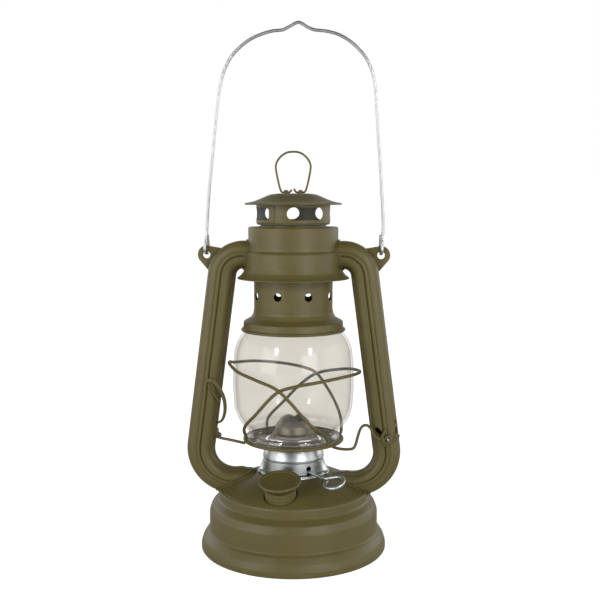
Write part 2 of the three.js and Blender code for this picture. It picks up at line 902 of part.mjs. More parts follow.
function liftRing() {
  const arc = [];
  const steps = 10;
  const round = ringBellySpan;
  const crest = ringAxisLevel + ringHeight - round;
  for (let i = 0; i <= steps; i += 1) {
    const angle = -0.2 + (Math.PI + 0.4) * i / steps;
    arc.push([round * Math.cos(angle), 0, crest + round * Math.sin(angle)]);
  }
  const inner = ringTipSpread / 2;
  const middle = (ringFootSpan + ringTipSpread) / 2;
  const right = [
    [inner * 0.9, 0, ringAxisLevel + ringTipHeight],
    [inner * 1.8, 0, ringAxisLevel + ringTipHeight / 3],
    [middle - bridgeWidth * 0.6, 0, ringAxisLevel + ringWireRadius * 0.2],
    [middle - bridgeWidth / 2, 0, ringAxisLevel],
    [middle, 0, ringAxisLevel],
    [middle + bridgeWidth / 2, 0, ringAxisLevel],
    [middle + bridgeWidth * 0.6, 0, ringAxisLevel + ringWireRadius * 0.2],
    [ringFootSpan, 0, ringAxisLevel + ringWireRadius * 3],
  ];
  const left = right.map(([x, y, z]) => [-x, y, z]).reverse();
  return wire([...right, ...arc, ...left], ringWireRadius, 60);
}

function ringBridge(side) {
  const low = hoodTop + seatGap;
  const inner = ringWireRadius + seatGap;
  const outer = inner + bridgeWall;
  const arch = new THREE.Shape();
  arch.moveTo(outer, 0);
  arch.absarc(0, ringAxisLevel - low, outer, 0, Math.PI, false);
  arch.lineTo(-outer, 0);
  arch.lineTo(-inner, 0);
  arch.absarc(0, ringAxisLevel - low, inner, Math.PI, 0, true);
  arch.lineTo(inner, 0);
  arch.closePath();
  const geometry = new THREE.ExtrudeGeometry(arch, {
    depth: bridgeWidth,
    bevelEnabled: false,
    curveSegments: 4,
  });
  geometry.rotateX(Math.PI / 2).rotateZ(Math.PI / 2);
  const centre = (ringFootSpan + ringTipSpread) / 2;
  return solid(geometry.translate(side * centre - bridgeWidth / 2, 0, low));
}

function chimneySpring() {
  const radius = throatRadius + runningGap + springWireRadius * 1.6;
  const low = throatBase + springWireRadius + seatGap;
  const high = canopyTop - sheetWall - springWireRadius - seatGap;
  const count = springTurns * springStepsPerTurn;
  const points = [];
  for (let i = 0; i <= count; i += 1) {
    const angle = i * 2 * Math.PI / springStepsPerTurn;
    points.push([radius * Math.cos(angle), radius * Math.sin(angle), low + (high - low) * i / count]);
  }
  const pitch = (high - low) / springTurns;
  console.log('least gap between the turns of the chimney spring', (pitch - springWireRadius * 2).toFixed(2));
  return wire(points, springWireRadius, count, springSides);
}

// Canopy

function canopyBand() {
  const band = turnedSheet([
    [skirtRadius, skirtLevel],
    [canopyBandRadius + sheetWall * 3, canopyBandBase - skirtHeight / 2],
    [canopyBandRadius, canopyBandBase],
    [canopyBandRadius, canopyBandTop],
    [canopyRadius + seatGap * 2, canopyBandTop + sheetWall],
  ], sheetWall, largeSides);
  return cut(band, sideTubeCore(1), sideTubeCore(-1));
}

function canopyCap() {
  const cap = turnedSheet([
    [canopyRadius, canopyBase - canopyBeadHeight + sheetWall + seatGap],
    [canopyRadius, canopyTop],
    [throatRadius + runningGap, canopyTop],
  ], sheetWall, largeSides);
  return cut(cap, sideTubeCore(1), sideTubeCore(-1));
}

function canopyEnvelope() {
  const over = canopyBandRadius + seatGap;
  return turned([
    [0, skirtLevel],
    [skirtRadius + seatGap, skirtLevel],
    [over + sheetWall * 3, canopyBandBase - skirtHeight / 2 + seatGap],
    [over, canopyBandBase + seatGap],
    [over, canopyBandTop + sheetWall + seatGap],
    [canopyRadius + seatGap, canopyBandTop + sheetWall + seatGap * 2],
    [canopyRadius + seatGap, canopyTop],
    [0, canopyTop],
  ], largeSides);
}

// Side tubes

function tubeSection(inset) {
  const halfWidth = tubeWidth / 2 - inset;
  const halfDepth = tubeDepth / 2 - inset;
  const corner = tubeCorner - inset;
  const shape = new THREE.Shape();
  const centres = [
    [halfWidth - corner, halfDepth - corner, 0],
    [corner - halfWidth, halfDepth - corner, Math.PI / 2],
    [corner - halfWidth, corner - halfDepth, Math.PI],
    [halfWidth - corner, corner - halfDepth, Math.PI * 1.5],
  ];
  centres.forEach(([x, y, start], i) => {
    for (let step = 0; step <= 2; step += 1) {
      const angle = start + step * Math.PI / 4;
      const [px, py] = [x + corner * Math.cos(angle), y + corner * Math.sin(angle)];
      if (i === 0 && step === 0) shape.moveTo(px, py);
      else shape.lineTo(px, py);
    }
  });
  shape.closePath();
  return shape;
}

function tubeRoute(topInset, lowExtra) {
  const places = [];
  const topSteps = 5;
  places.push([tubeTopStart - topInset, tubeTopLevel, 0]);
  for (let i = 0; i <= topSteps; i += 1) {
    const angle = Math.PI / 2 + (tubeSlant - Math.PI / 2) * i / topSteps;
    places.push([
      tubeTopCentre[0] + tubeTopBend * Math.cos(angle),
      tubeTopCentre[1] + tubeTopBend * Math.sin(angle),
      0,
    ]);
  }
  const lowSteps = 7;
  const start = tubeSlant;
  const end = -Math.PI / 2 - tubeInwardTilt;
  for (let i = 0; i <= lowSteps; i += 1) {
    const angle = start + (end - start) * i / lowSteps;
    places.push([
      tubeLowCentre[0] + tubeLowBend * Math.cos(angle),
      tubeLowCentre[1] + tubeLowBend * Math.sin(angle),
      i / lowSteps,
    ]);
  }
  const last = places[places.length - 1];
  const run = tubeLowRun + lowExtra;
  places.push([last[0] - run * Math.cos(tubeInwardTilt), last[1] - run * Math.sin(tubeInwardTilt), 1]);
  return places;
}

// Rings of the section stand square to the route, and are joined into one closed skin.
// The inner half of the section gets flatter along the lower bend.
function sweptTube(inset, topInset, lowExtra, flatShare) {
  const places = tubeRoute(topInset, lowExtra);
  const section = tubeSection(inset).getPoints().slice(0, -1);
  const positions = [];
  places.forEach(([x, z, bendShare], i) => {
    const innerScale = 1 - (1 - flatShare) * bendShare;
    const before = places[Math.max(i - 1, 0)];
    const after = places[Math.min(i + 1, places.length - 1)];
    const along = new THREE.Vector2(after[0] - before[0], after[1] - before[1]).normalize();
    section.forEach((point) => {
      const across = point.x < 0 ? point.x * innerScale : point.x;
      positions.push(x - along.y * across, point.y, z + along.x * across);
    });
  });
  const count = section.length;
  const index = [];
  for (let ring = 0; ring < places.length - 1; ring += 1) {
    for (let side = 0; side < count; side += 1) {
      const next = (side + 1) % count;
      const [a, b] = [ring * count + side, ring * count + next];
      const [c, d] = [a + count, b + count];
      index.push(a, b, c, b, d, c);
    }
  }
  const last = (places.length - 1) * count;
  for (let side = 1; side < count - 1; side += 1) {
    index.push(0, side + 1, side);
    index.push(last, last + side, last + side + 1);
  }
  const geometry = new THREE.BufferGeometry();
  geometry.setAttribute('position', new THREE.Float32BufferAttribute(positions, 3));
  geometry.setIndex(index);
  return solid(geometry);
}

function sided(body, side) {
  return side > 0 ? body : body.mirror([1, 0, 0]);
}

function flatShareOf(side) {
  return side > 0 ? tubeFlatRightShare : tubeFlatLeftShare;
}

function sideTubeCore(side) {
  return sided(sweptTube(tubeWall + seatGap * 2, sheetWall * 12, 0, flatShareOf(side)), side);
}

function sideTube(side) {
  const flatShare = flatShareOf(side);
  const outer = sweptTube(0, sheetWall, 0, flatShare);
  const bore = sweptTube(tubeWall, sheetWall * 12, cutOverrun, flatShare);
  const body = cut(outer, tankEnvelope(), canopyEnvelope(), bore);
  return sided(body, side);
}

function tubeEnvelope(clearance) {
  return sweptTube(-clearance, sheetWall, cutOverrun, 1);
}

// Ears and bail

function ear(side) {
  const shape = new THREE.Shape();
  const anchor = [tubeTopCentre[0], tubeTopCentre[1]];
  const [dx, dz] = [earSpan - anchor[0], earLevel - anchor[1]];
  const heading = Math.atan2(dz, dx);
  const spread = Math.PI * 0.42;
  const steps = 8;
  for (let i = 0; i <= steps; i += 1) {
    const angle = heading - spread + 2 * spread * i / steps;
    const [x, z] = [earSpan + earRadius * Math.cos(angle), earLevel + earRadius * Math.sin(angle)];
    if (i === 0) shape.moveTo(x, z);
    else shape.lineTo(x, z);
  }
  const root = tubeTopBend + tubeWidth / 4;
  const flare = Math.PI / 5.2;
  shape.lineTo(anchor[0] + root * Math.cos(heading + flare), anchor[1] + root * Math.sin(heading + flare));
  shape.lineTo(anchor[0] + root * Math.cos(heading - flare), anchor[1] + root * Math.sin(heading - flare));
  shape.closePath();
  const hole = new THREE.Path();
  hole.absarc(earSpan, earLevel, earHoleRadius, 0, 2 * Math.PI, true);
  shape.holes.push(hole);
  const geometry = new THREE.ExtrudeGeometry(shape, {
    depth: earThickness,
    bevelEnabled: false,
    curveSegments: 6,
  });
  geometry.rotateX(Math.PI / 2).translate(0, earThickness / 2, 0);
  return sided(cut(solid(geometry), tubeEnvelope(seatGap)), side);
}

// Shares of the span between the ears and of the bail's height, from the eye up to the kink
const bailLeftShares = [
  [0.997, 0.095],
  [0.91, 0.424],
  [0.823, 0.753],
  [0.769, 0.806],
  [0.647, 0.871],
  [0.473, 0.924],
  [0.083, 0.961],
];

const bailRightShares = [
  [1.022, 0.083],
  [0.984, 0.38],
  [0.945, 0.68],
  [0.927, 0.746],
  [0.849, 0.819],
  [0.728, 0.878],
  [0.557, 0.935],
  [0.199, 0.963],
];

const bailApexShare = 0.061;

function bailSide(side, routeShares) {
  const eye = [];
  const steps = 6;
  for (let i = 0; i <= steps; i += 1) {
    const angle = -Math.PI * i / steps;
    eye.push([
      side * earSpan,
      bailEyeRadius * Math.cos(angle),
      bailPivotLevel + bailEyeRadius * Math.sin(angle),
    ]);
  }
  const startShare = (1 + routeShares[0][0]) / 2;
  const tip = [side * earSpan, bailWireRadius * 2.3, bailPivotLevel + bailEyeHeight * 0.9];
  const neck = [side * earSpan * startShare, -bailWireRadius * 0.6, bailPivotLevel + bailEyeHeight * 0.8];
  const arch = routeShares.map(([spanShare, heightShare]) => [
    side * earSpan * spanShare,
    0,
    bailPivotLevel + bailHeight * heightShare,
  ]);
  return [tip, ...eye, neck, ...arch];
}

function bail() {
  const left = bailSide(-1, bailLeftShares);
  const right = bailSide(1, bailRightShares).reverse();
  const apex = [earSpan * bailApexShare, 0, bailPivotLevel + bailHeight];
  return wire([...left, apex, ...right], bailWireRadius, 96);
}

// Lever, arm and their seats on the tubes

const tubeFront = -tubeDepth / 2;

function tubeCentreAt(level) {
  const normal = [Math.cos(tubeSlant), Math.sin(tubeSlant)];
  const touch = [tubeLowCentre[0] + tubeLowBend * normal[0], tubeLowCentre[1] + tubeLowBend * normal[1]];
  return touch[0] - (level - touch[1]) * Math.tan(tubeSlant);
}

const leverPlane = tubeFront - leverStandOff - leverWireRadius;

function liftLever() {
  const tipLevel = plateLevel - seatGap;
  const low = leverPivotLevel - leverWireRadius * 2 - leverSag - leverStandOff * 3;
  const top = leverPivotLevel + leverHump;
  const span = leverPivotSpan - leverTipReach;
  const eye = rivetRadius + seatGap + leverWireRadius;
  const places = [
    [leverTipReach, tipLevel],
    [leverTipReach + leverWireRadius * 0.4, tipLevel - leverWireRadius * 2],
    [leverTipReach + span * 0.13, low],
    [leverTipReach + span * 0.36, low],
    [leverTipReach + span * 0.43, low + leverSag * 0.8],
    [leverTipReach + span * 0.47, leverPivotLevel + leverHump * 0.2],
    [leverTipReach + span * 0.52, leverPivotLevel + leverHump * 0.8],
    [leverTipReach + span * 0.59, top],
    [leverTipReach + span * 0.67, leverPivotLevel + leverHump * 0.85],
    [leverTipReach + span * 0.72, leverPivotLevel + leverHump * 0.5],
    [leverTipReach + span * 0.79, leverPivotLevel + leverHump * 0.18],
    [leverPivotSpan - eye * 2, leverPivotLevel],
    [leverPivotSpan - eye, leverPivotLevel + eye * 0.35],
    [leverPivotSpan - eye * 0.7, leverPivotLevel + eye * 0.8],
    [leverPivotSpan, leverPivotLevel + eye * 1.06],
    [leverPivotSpan + eye * 0.7, leverPivotLevel + eye * 0.8],
    [leverPivotSpan + eye, leverPivotLevel + eye * 0.35],
    [leverPivotSpan + eye * 1.6, leverPivotLevel],
    [leverPivotSpan + leverTail, leverPivotLevel],
  ];
  return wire(places.map(([x, z]) => [x, leverPlane, z]), leverWireRadius, 60);
}

function leverRivet() {
  const backFace = tubeFront - seatGap;
  const headBack = leverPlane - leverWireRadius - seatGap;
  const points = [
    [0, 0],
    [rivetRadius, 0],
    [rivetRadius, backFace - headBack],
    [rivetHeadRadius, backFace - headBack],
    [rivetHeadRadius * 0.8, backFace - headBack + rivetHeadHeight],
    [0, backFace - headBack + rivetHeadHeight],
  ];
  const body = turned(points, smallSides).rotate([90, 0, 0]);
  return body.translate([leverPivotSpan, backFace, leverPivotLevel]);
}

function leverStaple() {
  const x = leverPivotSpan - (rivetRadius + seatGap + leverWireRadius) * 1.7;
  const front = leverPlane - leverWireRadius - seatGap - stapleWireRadius;
  const back = tubeFront - seatGap;
  const half = stapleHeight / 2;
  const bow = stapleWireRadius;
  return wire([
    [x + bow, back, leverPivotLevel + half],
    [x + bow / 2, (back + front) / 2, leverPivotLevel + half],
    [x, front, leverPivotLevel + half * 0.75],
    [x - bow, front, leverPivotLevel],
    [x, front, leverPivotLevel - half * 0.75],
    [x + bow / 2, (back + front) / 2, leverPivotLevel - half],
    [x + bow, back, leverPivotLevel - half],
  ], stapleWireRadius, 18);
}

const armPivotSpan = tubeCentreAt(armPivotLevel) - tubeWidth / 2 - armPivotInset;

function plateArm() {
  const tipLevel = plateLevel - plateRimRadius / 2 - seatGap - leverWireRadius;
  const tipRadius = plateRadius - plateRimRadius;
  const tipSpan = Math.sqrt(tipRadius * tipRadius - armForward * armForward);
  const pin = bossSize / 2 + leverWireRadius;
  return wire([
    [-armPivotSpan, pin, armPivotLevel],
    [-armPivotSpan, 0, armPivotLevel],
    [-armPivotSpan, -pin, armPivotLevel],
    [-armPivotSpan + leverWireRadius * 2, -pin - leverWireRadius * 2, armPivotLevel - leverWireRadius / 2],
    [-(armPivotSpan + tipSpan) / 2, -(pin + armForward) / 2 - leverWireRadius, (armPivotLevel + tipLevel) / 2],
    [-tipSpan, -armForward, tipLevel],
  ], leverWireRadius, 22);
}

function armBoss() {
  const half = bossSize / 2;
  const out = bossBore + bossWall;
  const boss = block(
    [-armPivotSpan - half - armPivotInset, -half, armPivotLevel - out],
    [-armPivotSpan + out, half, armPivotLevel + out],
  );
  const bore = solid(rod(bossBore, bossSize + cutOverrun, cutSides).translate(-armPivotSpan, 0, armPivotLevel));
  return cut(boss, bore, tubeEnvelope(seatGap).mirror([1, 0, 0]));
}

// A bent wire on the left tube that keeps the cage wires off it
function guideLoop() {
  const face = (level, share) => tubeCentreAt(level) - tubeWidth / 2 * share;
  const front = tubeFront - seatGap * 2 - guideWireRadius;
  const at = (share) => guideTop - guideHeight * share;
  const loop = wire([
    [-face(at(0), 0.05), front + guideWireRadius, at(0)],
    [-face(at(0.04), 0.4), front, at(0.04)],
    [-face(at(0.1), 0.85), front, at(0.1)],
    [-face(at(0.24), 1) + guideBulge * 0.6, front * 0.85, at(0.24)],
    [-face(at(0.44), 1) + guideBulge * 0.95, front * 0.55, at(0.44)],
    [-face(at(0.66), 1) + guideBulge, front * 0.25, at(0.66)],
    [-face(at(0.86), 1) + guideBulge * 0.75, 0, at(0.86)],
    [-face(at(1), 0.9), 0, at(1)],
  ], guideWireRadius, 26);
  return cut(loop, tubeEnvelope(seatGap).mirror([1, 0, 0]));
}

// The lantern is one group of named pieces

function piece(name, body, finish) {
  const mesh = new THREE.Mesh(geometryOf(body), new THREE.MeshStandardMaterial(finish));
  mesh.name = name;
  return mesh;
}

const lantern = new THREE.Group();
lantern.add(
  piece('tank_shell', tankShell(), paint),
  piece('tank_floor', tankFloor(), paint),
  piece('tank_dome', tankDome(), paint),
  piece('fuel_plate', fuelPlate(), zinc),
  piece('filler_neck', fillerNeck(), paint),
  piece('filler_gasket', fillerGasket(), rubber),
  piece('filler_cap', fillerCap(), paint),
  piece('burner_collar', burnerCollar(), zinc),
  piece('burner_body', burnerBody(), zinc),
  piece('flame_dome', flameDome(), zinc),
  piece('wick_tube', wickTube(), zinc),
  piece('wick', wick(), cotton),
  piece('wick_shaft', wickShaft(), zinc),
  piece('wick_wheel_inner', wickWheel(-1), zinc),
  piece('wick_wheel_outer', wickWheel(1), zinc),
  piece('globe_plate', globePlate(), paint),
  piece('globe', globe(), glassFinish),
  piece('cage_wire_left', cageWire(cageLeftShares), paint),
  piece('cage_wire_right', cageWire(cageRightShares), paint),
  piece('chimney_flange', chimneyFlange(), paint),
  piece('chimney_tube', chimneyTube(), paint),
  piece('chimney_spring', chimneySpring(), zinc),
  piece('crown_drum', crownDrum(), paint),
  piece('crown_hood', crownHood(), paint),
  piece('ring_bridge_left', ringBridge(-1), paint),
  piece('ring_bridge_right', ringBridge(1), paint),
  piece('lift_ring', liftRing(), paint),
  piece('canopy_band', canopyBand(), paint),
  piece('canopy_cap', canopyCap(), paint),
  piece('side_tube_left', sideTube(-1), paint),
  piece('side_tube_right', sideTube(1), paint),
  piece('ear_left', ear(-1), paint),
  piece('ear_right', ear(1), paint),
  piece('bail', bail(), zinc),
  piece('lift_lever', liftLever(), paint),
  piece('lever_rivet', leverRivet(), zinc),
  piece('lever_staple', leverStaple(), paint),
  piece('plate_arm', plateArm(), paint),
  piece('arm_boss', armBoss(), paint),
  piece('guide_loop', guideLoop(), paint),
);

export default lantern;
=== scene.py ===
"""Looks of a hurricane lantern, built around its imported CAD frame. Lengths in tables are millimetres."""
import math

import bmesh
import bpy
from mathutils import Matrix, Vector


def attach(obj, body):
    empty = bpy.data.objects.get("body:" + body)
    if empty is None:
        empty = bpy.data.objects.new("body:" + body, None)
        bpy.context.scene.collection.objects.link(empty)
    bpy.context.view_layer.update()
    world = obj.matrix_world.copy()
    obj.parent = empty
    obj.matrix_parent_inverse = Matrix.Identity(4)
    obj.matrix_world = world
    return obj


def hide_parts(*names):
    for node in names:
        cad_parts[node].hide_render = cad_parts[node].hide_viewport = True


bl_info = {
    "name": "Hurricane lantern",
    "version": (1, 0, 0),
    "blender": (4, 5, 0),
    "location": "View3D > Sidebar > Lantern",
    "description": "Builds the pieces and finishes of a hurricane lantern around its CAD frame",
    "category": "Object",
}

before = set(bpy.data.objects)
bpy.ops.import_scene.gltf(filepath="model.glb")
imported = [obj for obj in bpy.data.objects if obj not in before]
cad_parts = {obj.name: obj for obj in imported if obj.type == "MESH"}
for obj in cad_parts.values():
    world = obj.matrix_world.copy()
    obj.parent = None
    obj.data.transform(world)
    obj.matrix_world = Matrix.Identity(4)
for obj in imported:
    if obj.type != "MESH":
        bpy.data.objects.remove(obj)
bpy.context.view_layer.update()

MM = 0.001
FULL_TURN = 2 * math.pi
QUARTER = math.pi / 2
SHEET = 0.5
# Limits of the outline helpers: bend in radians, step and radius in millimetres, and number of passes
LEAST_BEND, LEAST_STEP, LEAST_RADIUS, MOST_PASSES = 0.01, 0.02, 0.01, 300

# Outlines: radius, level and, where a corner is rounded, its radius
TANK = (
    (60.6, 0.05), (64, 0.05, 0.5), (64.9, 1.2, 1), (64.9, 4.2, 1.6), (63.6, 8.6, 5), (60.9, 12.6, 2.4),
    (59, 14.3, 1.6), (59, 27.2, 5), (57.1, 32.4, 3.2), (53.2, 35.2, 1.2), (52.3, 36.4, 0.7),
    (52.3, 41.1, 0.5), (51.9, 42.1, 0.5), (51.1, 42.4, 0.4), (50.4, 42),
)
DOME = (
    (50.9, 41.7), (50.3, 42.6, 0.6), (47.6, 44, 8), (41.4, 47.3, 20), (34.4, 50.4, 20), (27.5, 52.6, 15),
    (22.7, 53.55),
)
NECK = (
    (10.6, -9), (10.6, 0.9, 0.3), (10.1, 1.3, 0.3), (10.1, 1.7, 0.3), (10.7, 2.2, 0.3), (10.7, 3, 0.3),
    (10.1, 3.4, 0.3), (10.1, 3.8, 0.3), (10.6, 4.2, 0.2), (10.6, 4.5, 0.3), (8.7, 4.7), (8.6, 7.1),
)
CAP = (
    (0, 8.3), (10.2, 8.3), (10.2, 4.7), (10.8, 4.7, 0.1), (10.9, 7, 0.8), (12.9, 8, 1), (14.1, 8.6, 0.5),
    (14.35, 9.5, 0.7), (13.7, 10.3, 0.6), (12.2, 10.35, 0.6), (11.5, 9.85, 0.3), (11.15, 9.55, 0.3),
    (0, 9.45),
)
COLLAR = (
    (20.2, 50.2), (21.8, 50.2), (21.8, 53.2, 0.3), (23.2, 53.4, 0.3), (23.9, 53.9, 0.3), (23.7, 54.4, 0.2),
    (22.9, 54.5, 0.2), (22.9, 54.9, 0.2), (22.2, 55.15, 0.2), (20.2, 55.15),
)
BURNER = (
    (20.6, 55.5), (20.9, 55.9, 0.2), (20.9, 63.6, 0.2), (20.3, 63.85), (20.3, 64.1), (21.3, 64.3, 0.2),
    (21.45, 65.6, 0.8), (20.9, 68, 2.5), (19.9, 71, 2.5), (18.9, 73.6, 2), (18.5, 75.3, 0.4),
    (17.9, 75.75, 0.2), (6.4, 75.75),
)
FLAME_DOME = (
    (17.9, 76.2), (17.9, 77, 0.4), (17, 77.7, 0.6), (16.6, 79.1, 0.5), (15.2, 79.7, 0.6), (14.9, 81, 0.4),
    (13.4, 82, 1), (12.6, 86.6, 6), (9.2, 91.6, 7), (4.2, 94.1, 6), (0, 94.25),
)
PLATE = (
    (19.7, 76.75), (31.4, 76.75, 0.4), (32.6, 76.5, 0.5), (33.9, 75.9, 0.5), (35.2, 76.4, 0.8),
    (35.3, 77.7, 0.8), (34.4, 78.4, 0.6), (33.4, 77.6, 0.4), (31.6, 77.2, 0.4), (20.4, 77.2, 0.3),
    (19.7, 77.4),
)
GLOBE_OUTER = (
    (32.4, 77.6, 0.5), (32.6, 80.2, 0.6), (31.1, 82.6, 1.2), (31.3, 84.6, 1.5), (34.7, 87, 6),
    (38.6, 92.4, 9), (41.2, 99.5, 14), (42.2, 114, 30), (42, 130, 30), (40.9, 140.6, 14), (38.4, 147.9, 8),
    (35, 152.2, 4), (33.2, 154.6, 2), (33, 157.9, 0.5),
)
FLANGE = (
    (35.6, 153.7), (36.3, 154.3, 0.5), (36.1, 155.2, 0.5), (34.7, 155.7, 0.5), (34.5, 160.3, 1.3),
    (29.4, 163.1, 3), (27.75, 166, 1.5), (27.5, 168), (27.2, 168),
)
CHIMNEY = (
    (27.2, 164.55), (27.2, 199.5, 1.2), (22.8, 202.5, 1.2), (22.8, 226.4),
)
CANOPY_BAND = (
    (38.55, 189.9), (38.6, 190.5, 0.2), (36.3, 192.2, 1.5), (34.5, 194.4, 3), (33.3, 198, 2),
    (33.3, 207.2, 0.7), (32.8, 208.2, 0.6), (31.9, 208.5), (31.5, 208.4),
)
CANOPY_CAP = (
    (32.6, 207.9), (32.3, 208.5, 0.3), (31.3, 209.2, 0.8), (31, 211.4, 1.5), (31, 224.5, 0.8),
    (30.4, 225.35, 0.3), (23.6, 225.35),
)
CROWN = (
    (21.4, 226.85), (24.3, 226.85, 0.4), (25.4, 228, 1), (25.4, 242.9),
)
HOOD = (
    (32.7, 240.4), (33.4, 240.7, 0.4), (33.35, 241.6, 0.4), (30.2, 242.1, 2), (26.5, 243, 3),
    (22.5, 244.6, 2.5), (18.5, 246.4, 2.5), (15.5, 247.5, 2), (11, 248.1, 3), (0, 248.15),
)

# Cage wires: turn in degrees, level and radius, from one end at the globe plate to the other
CAGE_RIGHT = (
    (47, 78.5, 34.6), (46.1, 81.5, 35), (34, 88.9, 39), (19.9, 96.1, 41.9), (1.2, 112.6, 44.6),
    (-9, 120.3, 45.6), (-29.4, 125.5, 45), (-51.7, 128.6, 44.8), (-70.6, 131.3, 44.8), (-90, 130.9, 44.8),
    (-103.4, 128.8, 44.8), (-136.2, 126.2, 44.8), (-163.8, 123.1, 45.2), (-183.3, 120, 45.6),
    (-196, 116.4, 45.6), (-209.3, 105.6, 44.6), (-225.8, 93.4, 41.5), (-238.1, 86.1, 38.5),
    (-250.4, 80.5, 35.2), (-252, 78.5, 34.6),
)
CAGE_LEFT = (
    (-66, 78.5, 34.6), (-64.5, 80.9, 35), (-56.4, 88.2, 38.4), (-30.4, 101.9, 43.2), (-9, 118.1, 43.6),
    (4.5, 121.9, 44.2), (28.6, 124.9, 45.2), (65.9, 126.1, 46), (90, 124.9, 46.4), (107.6, 123.8, 46.2),
    (127.7, 122.1, 45.2), (162, 115.8, 43.6), (176.7, 108, 43.6), (194.4, 94.9, 42.2), (212.5, 85.1, 38.5),
    (217.7, 81.9, 35.8), (219, 78.5, 34.6),
)

# Bail: distance to its own side of the middle and level, upwards from the neck of each eye
BAIL_LEFT = (
    (60.1, 224.8), (58.5, 247), (55.2, 277.8), (53.1, 298), (51.9, 308.2), (50.5, 318.3), (48.1, 328.3),
    (43.5, 338.4), (38.9, 344.1), (30.7, 350.8), (22.5, 354.7), (14.3, 357), (6.8, 357.8), (2.6, 359.7),
)
BAIL_RIGHT = (
    (61.6, 223), (59.2, 268.3), (57.7, 287.4), (57.1, 297.4), (56.4, 307.4), (55.6, 317.3), (54, 327.2),
    (50.2, 336.6), (46.4, 342.1), (38.3, 349.7), (30.2, 354.3), (22.1, 356.5), (14.1, 357.5), (10.2, 359),
)
BAIL_APEX = (3.68, 0, 362.45)
BAIL_PIVOT = 210.3
BAIL_EYE = 3.3
BAIL_NECK = {1: 61.0, -1: 60.2}
EAR_SPAN = 60.3
EAR_LEVEL = 206.0

# Lift lever: place along X and level, from the globe plate to the eye, and the tail beyond it
LEVER = (
    (27.5, 76.2), (27.9, 74.7), (32.5, 73.2), (39.3, 72.9), (42.5, 73.8), (44, 76.6), (45.1, 80.8),
    (47, 86.9), (49.1, 89.6), (51.8, 89.9), (54.5, 87.5), (56, 83.8), (58.7, 81.3), (62.4, 80.3),
)
LEVER_TAIL = ((67.4, 80.2), (70.4, 80.3), (71.9, 80.6), (73.0, 81.9), (73.5, 83.8))
# Finger loop of the wick shaft: along the shaft and across it
KNOB = (
    (-7.3, 0), (0, 0), (12, 0), (21.5, 0), (33.2, -0.5), (40, -0.3), (43.6, 2.6), (48.3, 5.6), (53.7, 4.6),
    (56.9, -0.3), (55.1, -5.5), (49.2, -7.3), (44.8, -5.1), (43, -1.6),
)
KNOB_LEAN = math.radians(22)
# Lift ring: one half from its foot up, and its two tips
LIFT_RING = (
    (3.3, 248.9), (6.7, 248.9), (7.8, 249.1), (8.5, 250), (9.7, 253.8), (10.9, 259.2), (11.8, 264.2),
    (11.9, 267.3), (10.5, 270.8), (7.7, 273.9), (4.2, 275.9),
)
LIFT_RING_CREST = 276.4
RING_TIP_RIGHT = ((0.5, 251.3), (1.3, 249.9), (2.2, 249))
RING_TIP_LEFT = ((1, 250.7), (1.8, 249.6), (2.8, 248.95))
RING_AXIS = 248.9
# Wires as places along X, depth and level
GUIDE = (
    (-59.6, -10.1, 118.8), (-56.7, -11.2, 119.4), (-52.9, -11.2, 117.2), (-50, -10.2, 112.5),
    (-47.9, -8.2, 106.4), (-47.4, -6, 99.6), (-48.5, -4, 93.2), (-50.8, -2, 88.9), (-54.4, -1, 87),
)
GUIDE_STAY = ((-58.7, -10.4, 116.8), (-56.0, -11.0, 112.6), (-53.0, -10.2, 107.4), (-50.6, -7.6, 103.0))
STAPLE = (
    (64.6, -9.6, 87.4), (63.7, -12.4, 86.1), (62.5, -13.1, 82.9), (62.4, -13.1, 81.2), (63.6, -12.9, 78.2),
    (64.3, -12.2, 75.7), (64.7, -9.6, 74.4),
)
ARM = (
    (-53.03, 3.4, 78), (-53.03, 0, 78), (-53.03, -3.4, 78), (-51.6, -5.1, 77.7), (-43, -8.2, 76.9),
    (-32.9, -10, 75.3),
)
LEVER_PIVOT = (66.3, 80.1)
# Eye of the lever, from its pivot
LEVER_EYE = (
    (-2.05, 0.5), (-1.435, 1.64), (0, 2.173), (1.435, 1.64), (2.05, 0.2), (1.435, -1.5375), (0, -2.173),
    (-1.435, -1.64),
)
LEVER_DEPTH = -11.7
RIVET = ((0, -0.3), (0.85, -0.3), (0.85, 2.6), (0.95, 2.7, 0.1), (0.7, 3.1, 0.3), (0, 3.2))
COLLAR_TAB = ((22.6, 53.5), (25, 53.7), (25.2, 54.1), (25, 54.5), (22.6, 54.8))
CROWN_SEAM = ((25, 228.2), (25.85, 228.6), (25.85, 240.5), (25, 240.6))
EAR_RIM = ((2.6, 0.85), (3.3, 0.85), (3.6, 0.55), (3.6, -0.55), (3.3, -0.85), (2.6, -0.85))

CAP_TEETH, CAP_SLIT = 42, ((9.6, -0.5, 4.4), (11.8, 0.5, 6.7))
ARM_LUG = ((-58.4, -2.7, 76.8), (-53.3, 2.7, 82.9))
LEVER_POCKET = ((-2.9, -11.5, -1.5), (2.9, 3.5, 1.5))
LEVER_NOTCHES = (((70.5, -9.6, 90.8), (71.6, -5.6, 93.2)), ((71, -9.6, 83.9), (72.2, -4.6, 88.2)))
PLATE_HOLES = 24
SHAFT_HOLE = 1.9
KNOB_WIRE = 2.5
THIN_WIRE = 1.3
VENT_LEVEL, VENT_PEG = 178.1, 70.0
VENT_FALL = math.radians(1.7)
# Window of the crown: width, height and depth of the cut
WINDOW, WINDOW_LEVEL = (26.0, 8.6, 14.0), 234.45
DIMPLES, DIMPLE_START, DIMPLE_RADIUS = 7, math.radians(-23), 1.2
DIMPLE_REACH, DIMPLE_LEVEL = 26.2, 243.5
BRIDGE_INNER, BRIDGE_WALL, BRIDGE_WIDTH, BRIDGE_REACH = 1.0, 0.6, 2.6, 5.0
